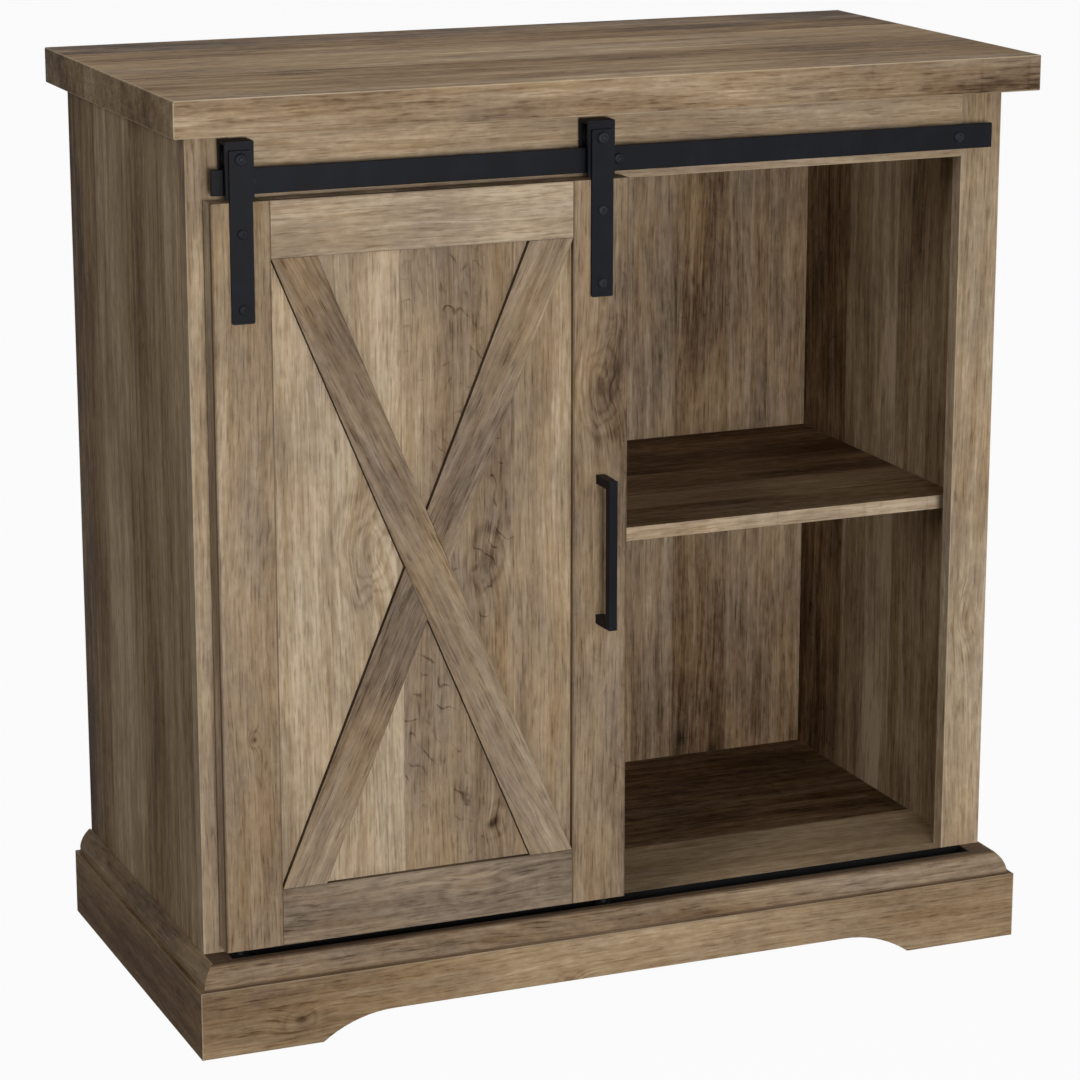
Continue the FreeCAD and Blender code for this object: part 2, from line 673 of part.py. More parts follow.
def carrier(x):
    """Saddle over the track: tall cheek in front, roof, and short cheek behind."""
    half = CARRIER_WIDTH / 2.0
    body = block(x - half, x + half, y_door_front, y_door_back, z_carrier_bottom, z_carrier_top)
    bay_y0, bay_y1 = y_carrier_inside
    bay = block(x - half, x + half, bay_y0, bay_y1, z_carrier_bottom, z_carrier_ceiling)
    below = block(x - half, x + half, bay_y1, y_door_back, z_carrier_bottom, z_carrier_back)
    body = body.cut(bay).cut(below)
    return hole_for_axle(body, x, y_door_front, y_door_back, AXLE_RADIUS + SCREW_FIT)


roller_width = y_carrier_inside[1] - y_carrier_inside[0] - 2.0 * ROLLER_SIDE_CLEARANCE
groove_width = TRACK_THICKNESS + 2.0 * ROLLER_GROOVE_CLEARANCE
y_roller = y_track_middle - roller_width / 2.0


def roller(x):
    """Grooved wheel that runs on the track's top edge."""
    flange = (roller_width - groove_width) / 2.0
    wheel = rod(ROLLER_RIM_RADIUS, roller_width, V(x, y_roller, z_axle), V(0, 1, 0))
    for y in (y_roller, y_roller + roller_width - flange):
        wheel = wheel.fuse(rod(ROLLER_FLANGE_RADIUS, flange, V(x, y, z_axle), V(0, 1, 0)))
    bore = AXLE_RADIUS + AXLE_RUNNING_CLEARANCE
    return hole_for_axle(wheel.removeSplitter(), x, y_roller, y_roller + roller_width, bore)


for side_name, x in zip(("left", "right"), hanger_xs):
    save("strap_" + side_name, strap(x))
    save("carrier_" + side_name, carrier(x))
    save("roller_" + side_name, roller(x))

axle_length = STRAP_THICKNESS + door_thickness
save(
    "axle_bolts",
    group(
        [
            pan_screw(
                V(x, y_strap_front, z_axle),
                V(0, 1, 0),
                AXLE_RADIUS,
                axle_length,
                AXLE_HEAD_RADIUS,
                AXLE_HEAD,
            )
            for x in hanger_xs
        ]
    ),
)
save(
    "strap_screws",
    group(
        [
            pan_screw(
                V(x, y_strap_front, z),
                V(0, 1, 0),
                STRAP_SCREW_RADIUS,
                STRAP_SCREW_LENGTH,
                STRAP_SCREW_HEAD_RADIUS,
                STRAP_SCREW_HEAD,
            )
            for x in hanger_xs
            for z in strap_screw_zs
        ]
    ),
)

z_pin_bottom = z_guide_bottom + GUIDE_WALL + GUIDE_PIN_LIFT


def guide_pin(x):
    """Round slider in the bottom guide, with a neck that is set in the door."""
    base = V(x, y_guide_middle, z_pin_bottom)
    foot = rod(guide_pin_radius, GUIDE_PIN_HEIGHT, base, V(0, 0, 1))
    neck_height = z_door_bottom + GUIDE_PIN_SPIGOT - z_pin_bottom
    return foot.fuse(rod(GUIDE_PIN_NECK_RADIUS, neck_height, base, V(0, 0, 1)))


save("guide_pins", group([guide_pin(x) for x in guide_pin_xs]))


# ---- pull ------------------------------------------------------------------------------------
half_bar = PULL_BAR / 2.0


def drilled_for_pull_screws(shape):
    """Cut the blind threaded holes in the posts."""
    for z in pull_zs:
        start = V(x_pull, y_door_front - PULL_SCREW_GRIP - SCREW_FIT, z)
        hole_length = PULL_SCREW_GRIP + SCREW_FIT
        shape = shape.cut(rod(PULL_SCREW_RADIUS + SCREW_FIT, hole_length, start, V(0, 1, 0)))
    return shape


x_bar_left = x_pull - half_bar
x_bar_right = x_pull + half_bar
z_bar_bottom = pull_zs[0] - half_bar
z_bar_top = pull_zs[1] + half_bar
bar = block(x_bar_left, x_bar_right, y_pull_front, y_bar_back, z_bar_bottom, z_bar_top)
bar = soften(bar, PULL_EDGE_ROUND, lambda edge: edge.CenterOfMass.y < y_bar_back - 1e-3)
save("pull_bar", bar)
pull_posts = [
    block(x_bar_left, x_bar_right, y_bar_back, y_door_front, z - half_bar, z + half_bar)
    for z in pull_zs
]
save("pull_posts", group([drilled_for_pull_screws(post) for post in pull_posts]))

pull_screw_length = door_thickness - PULL_SCREW_HEAD + PULL_SCREW_GRIP


def pull_screw(z):
    """Machine screw through the stile into a post, its head sunk flush with the back of the door."""
    head_start = V(x_pull, y_door_back - PULL_SCREW_HEAD, z)
    shank_start = V(x_pull, y_door_front - PULL_SCREW_GRIP, z)
    head = rod(PULL_SCREW_HEAD_RADIUS, PULL_SCREW_HEAD, head_start, V(0, 1, 0))
    return head.fuse(rod(PULL_SCREW_RADIUS, pull_screw_length, shank_start, V(0, 1, 0)))


save("pull_screws", group([pull_screw(z) for z in pull_zs]))

print("door travel, mm:", round(door_travel, 3))
print("roller centre, mm:", [round(v, 3) for v in (x_hanger_left, x_hanger_right, y_track_middle, z_axle)])
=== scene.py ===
"""Finishes, small fittings, studio and camera of a media cabinet with a sliding barn door.

The cabinet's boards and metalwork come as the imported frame. This script gives every board a
printed rustic oak finish whose grain runs the way the board was cut, gives the door gear its
satin black finish, makes the screw and bolt heads, and sets up the studio.
"""

from __future__ import annotations

import logging
import math
from dataclasses import dataclass, field
from enum import Enum
from itertools import product
from typing import Optional, Sequence, Union

import bmesh
import bpy
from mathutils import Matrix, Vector


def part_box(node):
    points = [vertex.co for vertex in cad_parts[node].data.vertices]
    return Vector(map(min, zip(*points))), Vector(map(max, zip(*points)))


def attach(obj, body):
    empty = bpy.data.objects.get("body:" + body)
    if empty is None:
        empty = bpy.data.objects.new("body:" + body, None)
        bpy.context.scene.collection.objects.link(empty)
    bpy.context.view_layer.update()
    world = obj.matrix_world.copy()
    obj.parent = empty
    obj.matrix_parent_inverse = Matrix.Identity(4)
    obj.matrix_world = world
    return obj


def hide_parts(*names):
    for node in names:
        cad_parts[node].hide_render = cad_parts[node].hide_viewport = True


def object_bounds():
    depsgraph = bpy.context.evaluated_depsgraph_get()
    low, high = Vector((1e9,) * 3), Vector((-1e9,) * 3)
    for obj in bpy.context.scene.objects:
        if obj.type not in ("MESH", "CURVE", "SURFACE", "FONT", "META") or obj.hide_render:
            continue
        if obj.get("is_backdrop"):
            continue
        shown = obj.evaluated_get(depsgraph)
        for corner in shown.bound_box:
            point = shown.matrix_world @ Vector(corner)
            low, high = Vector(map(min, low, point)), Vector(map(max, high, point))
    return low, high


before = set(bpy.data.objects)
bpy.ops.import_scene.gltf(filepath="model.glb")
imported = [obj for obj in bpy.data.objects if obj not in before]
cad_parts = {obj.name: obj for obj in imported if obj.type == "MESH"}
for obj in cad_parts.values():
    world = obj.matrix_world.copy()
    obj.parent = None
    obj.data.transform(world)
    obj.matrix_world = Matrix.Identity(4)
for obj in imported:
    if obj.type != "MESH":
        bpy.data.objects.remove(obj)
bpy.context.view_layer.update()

log = logging.getLogger("cabinet")

MM = 0.001

Triple = tuple[float, float, float]
Socket = bpy.types.NodeSocket
Value = Union[float, Socket]
Arrow = Union[Socket, Triple]
Colour = Union[Socket, tuple]


class Axis(Enum):
    """One of the cabinet's own directions."""

    WIDE = (1.0, 0.0, 0.0)
    DEEP = (0.0, 1.0, 0.0)
    HIGH = (0.0, 0.0, 1.0)

    @property
    def way(self) -> Vector:
        """The unit vector that points this way."""
        return Vector(self.value)


class Body(Enum):
    """The parts of the cabinet that move on their own."""

    CABINET = "cabinet"
    DOOR = "door"


def linear(shade: float) -> float:
    """Turns one display shade into light.

    Args:
        shade: the display value, 0 to 255.

    Returns:
        The linear value, 0 to 1.
    """
    part = shade / 255.0
    if part <= 0.04045:
        return part / 12.92
    return ((part + 0.055) / 1.055) ** 2.4


def paint(red: float, green: float, blue: float) -> tuple[float, float, float, float]:
    """Gives a display colour as the linear colour that a shader takes.

    Args:
        red: display red, 0 to 255.
        green: display green, 0 to 255.
        blue: display blue, 0 to 255.

    Returns:
        Linear red, green and blue, with full alpha.
    """
    return (linear(red), linear(green), linear(blue), 1.0)


# ---- node sheets ------------------------------------------------------------------------------
class Sheet:
    """A material's nodes, with short calls that add a node and join it up."""

    MIX_INPUTS = (0, 6, 7)
    MIX_OUTPUT = 2
    FACING_FROM, FACING_TO = 0.3, 0.7

    def __init__(self, name: str) -> None:
        """Starts an empty material.

        Args:
            name: the material's name.
        """
        self.material = bpy.data.materials.new(name)
        self.material.use_nodes = True
        self.tree = self.material.node_tree
        self.tree.nodes.clear()

    def node(self, kind: str) -> bpy.types.Node:
        """Adds a node of the given Blender kind and returns it."""
        return self.tree.nodes.new(kind)

    def feed(self, socket: Socket, value: Union[Value, Sequence[float]]) -> None:
        """Joins a socket to another, or sets it to a number or to several.

        Args:
            socket: the input that is fed.
            value: an output socket, a number, or a sequence of numbers.
        """
        if isinstance(value, bpy.types.NodeSocket):
            self.tree.links.new(value, socket)
        else:
            socket.default_value = value

    def math(self, operation: str, first: Value, second: Value = 0.0, third: Value = 0.0) -> Socket:
        """Adds a Math node.

        Args:
            operation: Blender's name of the sum.
            first: the first input.
            second: the second input.
            third: the third input, which few operations use.

        Returns:
            The node's output.
        """
        node = self.node("ShaderNodeMath")
        node.operation = operation
        for socket, value in zip(node.inputs, (first, second, third)):
            self.feed(socket, value)
        return node.outputs[0]

    def total(self, *parts: Value) -> Socket:
        """Adds several values up.

        Args:
            parts: the values.

        Returns:
            Their sum.
        """
        result = parts[0]
        for part in parts[1:]:
            result = self.math("ADD", result, part)
        return result

    def times(self, first: Value, second: Value) -> Socket:
        """Multiplies two values and returns the product."""
        return self.math("MULTIPLY", first, second)

    def vector(self, operation: str, first: Arrow, second: Arrow) -> bpy.types.Node:
        """Adds a Vector Math node.

        Args:
            operation: Blender's name of the operation.
            first: the first vector.
            second: the second vector.

        Returns:
            The node, whose outputs are Vector and Value.
        """
        node = self.node("ShaderNodeVectorMath")
        node.operation = operation
        self.feed(node.inputs[0], first)
        self.feed(node.inputs[1], second)
        return node

    def cells(self, place: Socket, counts: Triple) -> Socket:
        """Scales coordinates to so many cells per metre each way."""
        return self.vector("MULTIPLY", place, counts).outputs[0]

    def reach(self, place: Socket, way: Vector) -> Socket:
        """Measures how far a place lies along a direction."""
        return self.vector("DOT_PRODUCT", place, tuple(way)).outputs[1]

    def joined(self, first: Value, second: Value, third: Value) -> Socket:
        """Makes a vector of three values.

        Args:
            first: its x.
            second: its y.
            third: its z.

        Returns:
            The vector.
        """
        node = self.node("ShaderNodeCombineXYZ")
        for socket, value in zip(node.inputs, (first, second, third)):
            self.feed(socket, value)
        return node.outputs[0]

    def split(self, vector: Socket) -> tuple[Socket, Socket, Socket]:
        """Takes a vector or colour apart into its three numbers."""
        node = self.node("ShaderNodeSeparateXYZ")
        self.feed(node.inputs[0], vector)
        return node.outputs[0], node.outputs[1], node.outputs[2]

    def noise(self, place: Socket, detail: float, roughness: float = 0.5) -> Socket:
        """Adds a Noise Texture whose cells are one unit of its coordinates across.

        Args:
            place: the coordinates.
            detail: how many finer layers it has.
            roughness: how strong the finer layers are.

        Returns:
            The noise, about 0.5 on average.
        """
        node = self.node("ShaderNodeTexNoise")
        node.inputs["Scale"].default_value = 1.0
        node.inputs["Detail"].default_value = detail
        node.inputs["Roughness"].default_value = roughness
        self.feed(node.inputs["Vector"], place)
        return node.outputs[0]

    def between(self, value: Socket, low: float, high: float) -> Socket:
        """Rises smoothly from 0 at low to 1 at high.

        Args:
            value: what is read.
            low: where the result leaves 0.
            high: where the result reaches 1.

        Returns:
            The smooth step.
        """
        node = self.node("ShaderNodeMapRange")
        node.interpolation_type = "SMOOTHSTEP"
        self.feed(node.inputs["Value"], value)
        node.inputs["From Min"].default_value = low
        node.inputs["From Max"].default_value = high
        return node.outputs[0]

    def ramp(self, value: Socket, stops: Sequence[tuple[float, tuple]], stepped: bool = False) -> Socket:
        """Adds a Color Ramp.

        Args:
            value: what is read, 0 to 1.
            stops: places and colours, in rising order.
            stepped: whether a colour holds until the next stop.

        Returns:
            The colour.
        """
        node = self.node("ShaderNodeValToRGB")
        node.color_ramp.interpolation = "CONSTANT" if stepped else "LINEAR"
        elements = node.color_ramp.elements
        elements[0].position = stops[0][0]
        elements[0].color = stops[0][1]
        elements[1].position = stops[-1][0]
        elements[1].color = stops[-1][1]
        for place, colour in stops[1:-1]:
            elements.new(place).color = colour
        self.feed(node.inputs[0], value)
        return node.outputs[0]

    def blend(self, share: Value, below: Colour, above: Colour) -> Socket:
        """Mixes two colours.

        Args:
            share: how much of the second shows, 0 to 1.
            below: the first colour.
            above: the second colour.

        Returns:
            The mixed colour.
        """
        node = self.node("ShaderNodeMix")
        node.data_type = "RGBA"
        factor, first, second = (node.inputs[place] for place in self.MIX_INPUTS)
        self.feed(factor, share)
        self.feed(first, below)
        self.feed(second, above)
        return node.outputs[self.MIX_OUTPUT]

    def place(self) -> Socket:
        """The point's place in the cabinet's frame, at rest, in metres."""
        return self.node("ShaderNodeTexCoord").outputs["Object"]

    def facing(self, way: Vector, backward: bool = False) -> Socket:
        """Tests which way the surface looks, before any relief.

        Args:
            way: the direction that is tested.
            backward: whether only the side that looks against that direction counts.

        Returns:
            1 where the surface looks along the direction, falling to 0 where it does not.
        """
        normal = self.node("ShaderNodeTexCoord").outputs["Normal"]
        share = self.vector("DOT_PRODUCT", normal, tuple(way)).outputs[1]
        share = self.times(share, -1.0) if backward else self.math("ABSOLUTE", share)
        return self.between(share, self.FACING_FROM, self.FACING_TO)

    def finish(
        self,
        colour: Colour,
        roughness: Value,
        metallic: float = 0.0,
        specular: float = 0.5,
        height: Optional[Socket] = None,
        relief: float = 0.0,
    ) -> bpy.types.Material:
        """Adds the surface shader and ends the material.

        Args:
            colour: the base colour.
            roughness: how matte it is.
            metallic: 1 on bare metal, else 0.
            specular: the strength of its gloss.
            height: a height map for its relief, 0 to 1, if it has any.
            relief: the depth of that relief, in metres.

        Returns:
            The material.
        """
        shader = self.node("ShaderNodeBsdfPrincipled")
        self.feed(shader.inputs["Base Color"], colour)
        self.feed(shader.inputs["Roughness"], roughness)
        shader.inputs["Metallic"].default_value = metallic
        shader.inputs["Specular IOR Level"].default_value = specular
        if height is not None:
            bump = self.node("ShaderNodeBump")
            bump.inputs["Strength"].default_value = 1.0
            bump.inputs["Distance"].default_value = relief
            self.feed(bump.inputs["Height"], height)
            self.feed(shader.inputs["Normal"], bump.outputs[0])
        output = self.node("ShaderNodeOutputMaterial")
        self.feed(output.inputs["Surface"], shader.outputs[0])
        return self.material


# ---- finishes ---------------------------------------------------------------------------------
@dataclass(frozen=True)
class Plank:
    """One of the planks that are printed side by side on a board.

    Attributes:
        share: its width, against the other planks on the board.
        tone: how light it is, 0 to 1.
        warmth: how brown it is against grey, 0 to 1.
        checks: how strongly fine dark checks cross it, 0 to 1.
        fall: how much darker its far side is than its near side.
    """

    share: float
    tone: float
    warmth: float = 0.5
    checks: float = 0.2
    fall: float = 0.0


@dataclass(frozen=True)
class Knot:
    """A knot, or an eye of the figure, that the grain runs round.

    Attributes:
        along: its place along the grain, as a share of the board.
        across: its place across the grain, as a share of the board.
        reach: how far it bends the grain to each side, in metres.
        swirl: how many rings close round it.
        core: how dark its middle is, 0 to 1.
        stretch: how much longer than wide it is.
    """

    along: float
    across: float
    reach: float = 0.02
    swirl: float = 2.0
    core: float = 0.0
    stretch: float = 2.6


@dataclass(frozen=True)
class Layer:
    """One layer of the wood's figure: noise that is drawn out along the grain.

    Attributes:
        coarse: its cells per metre along the grain.
        fine: its cells per metre across the grain.
        detail: how many finer layers it has.
        rough: how strong the finer layers are.
    """

    coarse: float
    fine: float
    detail: float
    rough: float


@dataclass(frozen=True)
class Oak:
    """Printed rustic oak: planks of several tones with streaks, fibres, rings, pores and knots.

    Attributes:
        grain: the direction that the grain runs.
        across: the direction that the printed planks lie side by side.
        planks: the printed planks, from the low end of the across direction.
        knots: the knots and eyes.
        seed: shifts the pattern, so that no two boards are alike.
        course: what is added to the tone at even steps along the grain.
        rings: how strongly the growth rings show.
        contrast: how strongly the streaks and patches show.
        worn: how strongly the board's edges show lighter, with wear and a painted highlight.
        joint_shade: how dark the board is painted along its joints with the next boards, as painted shade, 0
            to 1.
        front_light: painted light, added to the tone where the board looks out of the front.
        edge_face_shade: how dark the thin edge faces are painted with shade, 0 to 1.
        face: the direction that the board's broad face looks, for the painted shade on the edge faces.
    """

    grain: Vector
    across: Vector
    planks: tuple[Plank, ...]
    knots: tuple[Knot, ...] = ()
    seed: float = 0.0
    course: tuple[float, ...] = (0.0, 0.0)
    rings: float = 1.0
    contrast: float = 1.0
    worn: float = 0.5
    joint_shade: float = 0.0
    front_light: float = 0.0
    edge_face_shade: float = 0.0
    face: Vector = field(default_factory=lambda: Vector((0.0, 1.0, 0.0)))

    GREYS = (
        (0.0, paint(42, 34, 28)),
        (0.25, paint(86, 73, 61)),
        (0.5, paint(128, 112, 96)),
        (0.75, paint(162, 144, 123)),
        (1.0, paint(198, 181, 158)),
    )
    BROWNS = (
        (0.0, paint(51, 33, 20)),
        (0.25, paint(95, 71, 48)),
        (0.5, paint(136, 111, 82)),
        (0.75, paint(166, 142, 111)),
        (1.0, paint(200, 176, 145)),
    )
    # The first colour is painted shade along the joints between boards.
    JOINT_SHADE_COLOUR = paint(66, 46, 33)
    # The next colour is wear and a painted highlight along the edges.
    WEAR_AND_HIGHLIGHT_COLOUR = paint(205, 186, 158)
    # The last colour is painted shade on the thin edge faces.
    EDGE_FACE_SHADE_COLOUR = paint(34, 24, 17)

    WANDER = Layer(2.1, 6.0, 1.0, 0.5)
    RINGS = Layer(0.85, 8.5, 1.5, 0.4)
    RINGS_SHOWN = Layer(1.3, 9.0, 2.0, 0.5)
    BROAD = Layer(2.2, 21.0, 3.0, 0.6)
    STREAK = Layer(4.4, 100.0, 5.0, 0.66)
    FIBRE = Layer(19.0, 370.0, 3.0, 0.65)
    CLOUD = Layer(7.0, 19.0, 5.0, 0.62)
    FLECK = Layer(70.0, 150.0, 3.0, 0.62)
    PORE = Layer(38.0, 560.0, 1.0, 0.5)
    CHECK_SWAY = Layer(24.0, 30.0, 2.0, 0.55)
    CHECK_PARTS = Layer(50.0, 62.0, 1.0, 0.5)
    KNOT_WOBBLE = Layer(26.0, 52.0, 1.0, 0.5)

    TONE_LEVEL = -0.46
    BROAD_SWING, STREAK_SWING, CLOUD_SWING, FLECK_SWING = 0.5, 0.62, 0.52, 0.37
    FIBRE_SWING, FIBRE_MORE = 0.28, 0.2
    RING_DARK, PORE_DARK, CHECK_DARK, CORE_DARK = -0.09, -0.15, -0.27, -0.45
    FRONT_WARMTH, CLOUD_WARMTH, STREAK_WARMTH = -1.5, 2.2, -1.2
    FIBRE_RELIEF, STREAK_RELIEF, PORE_RELIEF = 0.55, 0.35, -0.5

    PICK_START, PICK_STEP, PICK_SEED = 0.137, 0.618, 0.29
    PLANK_SHIFT, SEED_SHIFT, SIDE_SHIFT = 23.0, 7.3, 0.61
    PLANK_JOINT = 0.0015
    RING_COUNT, RING_SHARPNESS = 11.0, 2.5
    BEND, EYE_BEND = 0.03, 0.004
    CHECK_ALONG, CHECK_ACROSS, CHECK_BEND, CHECK_WIDTH = 44.0, 30.0, 3.4, 0.34
    CORE_SHARPNESS = 9.0
    MATTE, MATTE_SWING = 0.5, 0.16
    WEAR_AND_HIGHLIGHT_WIDTH = 0.0016
    JOINT_SHADE_WIDTH = 0.0021
    RELIEF = 0.00022

    def plank_starts(self) -> list[tuple[float, tuple]]:
        """Lists where each plank starts, with its own random number, for a stepped ramp."""
        whole = sum(plank.share for plank in self.planks)
        stops, start = [], 0.0
        for number, plank in enumerate(self.planks):
            own = (self.PICK_START + self.PICK_STEP * (number + 1) + self.PICK_SEED * self.seed) % 1.0
            stops.append((start / whole, (own, own, own, 1.0)))
            start += plank.share
        if len(stops) == 1:
            stops.append((1.0, stops[0][1]))
        return stops

    def plank_tones(self) -> list[tuple[float, tuple]]:
        """Lists the tone, warmth and checks at each plank's two sides, for a smooth ramp."""
        whole = sum(plank.share for plank in self.planks)
        stops, start = [], 0.0
        for plank in self.planks:
            half = plank.fall / 2
            stops.append((start / whole, (plank.tone + half, plank.warmth, plank.checks, 1.0)))
            start += plank.share
            end = start / whole - self.PLANK_JOINT
            stops.append((end, (plank.tone - half, plank.warmth, plank.checks, 1.0)))
        return stops

    def course_stops(self) -> list[tuple[float, tuple]]:
        """Lists the tone that is added along the grain, raised by a half so that none is below 0."""
        last = len(self.course) - 1
        return [(number / last, (0.5 + step,) * 3 + (1.0,)) for number, step in enumerate(self.course)]

    def material(self, name: str, low: Vector, high: Vector) -> bpy.types.Material:
        """Makes the finish for one board.

        Args:
            name: the material's name.
            low: the board's lowest corner, in the cabinet's frame.
            high: the board's highest corner.

        Returns:
            The material.
        """
        sheet = Sheet(name)
        corners = [Vector(corner) - low for corner in product(*zip(low, high))]
        along_low, along_size = self.extent(corners, self.grain)
        across_low, across_size = self.extent(corners, self.across)

        point = sheet.vector("SUBTRACT", sheet.place(), tuple(low)).outputs[0]
        along = sheet.math("SUBTRACT", sheet.reach(point, self.grain), along_low)
        across = sheet.math("SUBTRACT", sheet.reach(point, self.across), across_low)
        inward = sheet.reach(point, self.grain.cross(self.across))

        share = sheet.math("DIVIDE", across, across_size)
        own = sheet.split(sheet.ramp(share, self.plank_starts(), stepped=True))[0]
        plank_tone, plank_warmth, plank_checks = sheet.split(sheet.ramp(share, self.plank_tones()))
        course = sheet.split(sheet.ramp(sheet.math("DIVIDE", along, along_size), self.course_stops()))[0]
        shift = sheet.math("MULTIPLY_ADD", own, self.PLANK_SHIFT, self.seed * self.SEED_SHIFT)
        run = sheet.math("ADD", along, shift)
        side = sheet.math("MULTIPLY_ADD", shift, self.SIDE_SHIFT, across)

        wander = sheet.math("SUBTRACT", self.layered(sheet, self.WANDER, run, side, inward), 0.5)
        bent = sheet.math("MULTIPLY_ADD", wander, self.BEND, side)
        eye, core = self.knots_on(sheet, along, across, along_size, across_size, wander)
        bent = sheet.math("MULTIPLY_ADD", eye, self.EYE_BEND, bent)

        rings = self.drawn(sheet, self.RINGS, run, bent, inward)
        phase = sheet.math("MULTIPLY_ADD", rings, self.RING_COUNT, eye)
        wave = sheet.math("MULTIPLY_ADD", sheet.math("SINE", sheet.times(phase, math.tau)), 0.5, 0.5)
        ring = sheet.math("POWER", wave, self.RING_SHARPNESS)
        shown = sheet.between(self.drawn(sheet, self.RINGS_SHOWN, run, side, inward), 0.42, 0.66)
        shown = sheet.math("MAXIMUM", shown, sheet.between(sheet.math("ABSOLUTE", eye), 0.05, 0.5))

        broad = self.drawn(sheet, self.BROAD, run, bent, inward)
        streak = self.drawn(sheet, self.STREAK, run, bent, inward)
        fibre = self.drawn(sheet, self.FIBRE, run, bent, inward)
        cloud = self.drawn(sheet, self.CLOUD, run, side, inward)
        fleck = self.drawn(sheet, self.FLECK, run, side, inward)
        pore = sheet.between(self.drawn(sheet, self.PORE, run, bent, inward), 0.57, 0.68)
        check = self.checks_on(sheet, run, side, cloud)

        # Painted light: faces that look out of the front are made lighter and greyer.
        front = sheet.times(sheet.facing(Axis.DEEP.way, backward=True), self.front_light)

        tone = sheet.total(
            plank_tone,
            course,
            front,
            self.TONE_LEVEL,
            self.swung(sheet, broad, self.BROAD_SWING * self.contrast),
            self.swung(sheet, streak, self.STREAK_SWING * self.contrast),
            self.swung(sheet, fibre, self.FIBRE_SWING + self.FIBRE_MORE * self.contrast),
            self.swung(sheet, cloud, self.CLOUD_SWING * self.contrast),
            self.swung(sheet, fleck, self.FLECK_SWING),
            sheet.times(sheet.times(ring, shown), self.RING_DARK * self.rings),
            sheet.times(pore, self.PORE_DARK),
            sheet.times(sheet.times(check, plank_checks), self.CHECK_DARK),
            sheet.times(core, self.CORE_DARK),
        )
        brown = sheet.total(
            plank_warmth,
            sheet.times(front, self.FRONT_WARMTH),
            self.swung(sheet, cloud, self.CLOUD_WARMTH),
            self.swung(sheet, streak, self.STREAK_WARMTH),
        )
        colour = sheet.blend(brown, sheet.ramp(tone, self.GREYS), sheet.ramp(tone, self.BROWNS))
        colour = self.edges_on(sheet, colour, point, low, high, streak)
        roughness = sheet.math("MULTIPLY_ADD", fibre, self.MATTE_SWING, self.MATTE)
        height = sheet.total(
            sheet.times(fibre, self.FIBRE_RELIEF),
            sheet.times(streak, self.STREAK_RELIEF),
            sheet.times(pore, self.PORE_RELIEF),
        )
        return sheet.finish(colour, roughness, specular=0.02, height=height, relief=self.RELIEF)

    @staticmethod
    def extent(corners: Sequence[Vector], way: Vector) -> tuple[float, float]:
        """Measures where a board starts along a direction, and how far it runs."""
        reaches = [corner.dot(way) for corner in corners]
        return min(reaches), max(reaches) - min(reaches)

    @staticmethod
    def swung(sheet: Sheet, noise: Socket, reach: float) -> Socket:
        """Centres a noise on 0 and sets how far it swings."""
        return sheet.math("MULTIPLY_ADD", noise, reach, -0.5 * reach)

    @staticmethod
    def layered(sheet: Sheet, layer: Layer, run: Socket, side: Socket, through: Value) -> Socket:
        """Makes the noise of one layer of the figure.

        Args:
            sheet: the material's nodes.
            layer: the layer.
            run: the place along the grain, in metres.
            side: the place across the grain, in metres.
            through: the place through the board, in cells.

        Returns:
            The noise.
        """
        place = sheet.joined(sheet.times(run, layer.coarse), sheet.times(side, layer.fine), through)
        return sheet.noise(place, layer.detail, layer.rough)

    def drawn(self, sheet: Sheet, layer: Layer, run: Socket, side: Socket, inward: Socket) -> Socket:
        """Makes the noise of a layer whose cells are as deep as they are wide.

        Args:
            sheet: the material's nodes.
            layer: the layer.
            run: the place along the grain, in metres.
            side: the place across the grain, in metres.
            inward: the place through the board, in metres.

        Returns:
            The noise.
        """
        return self.layered(sheet, layer, run, side, sheet.times(inward, layer.fine))

    def checks_on(self, sheet: Sheet, run: Socket, side: Socket, cloud: Socket) -> Socket:
        """Adds short dark checks that run aslant across the grain here and there.

        Args:
            sheet: the material's nodes.
            run: the place along the grain.
            side: the place across the grain.
            cloud: the broad patches, which decide where the checks show.

        Returns:
            How strongly a check shows.
        """
        sway = self.layered(sheet, self.CHECK_SWAY, run, side, 4.0)
        phase = sheet.total(
            sheet.times(run, self.CHECK_ALONG),
            sheet.times(side, self.CHECK_ACROSS),
            sheet.times(sway, self.CHECK_BEND),
        )
        line = sheet.math("ABSOLUTE", sheet.math("SINE", sheet.times(phase, math.pi)))
        line = sheet.math("SUBTRACT", 1.0, sheet.between(line, 0.0, self.CHECK_WIDTH))
        part = self.layered(sheet, self.CHECK_PARTS, run, side, 9.0)
        line = sheet.times(line, sheet.between(part, 0.46, 0.62))
        return sheet.times(line, sheet.math("SUBTRACT", 1.0, sheet.between(cloud, 0.44, 0.56)))

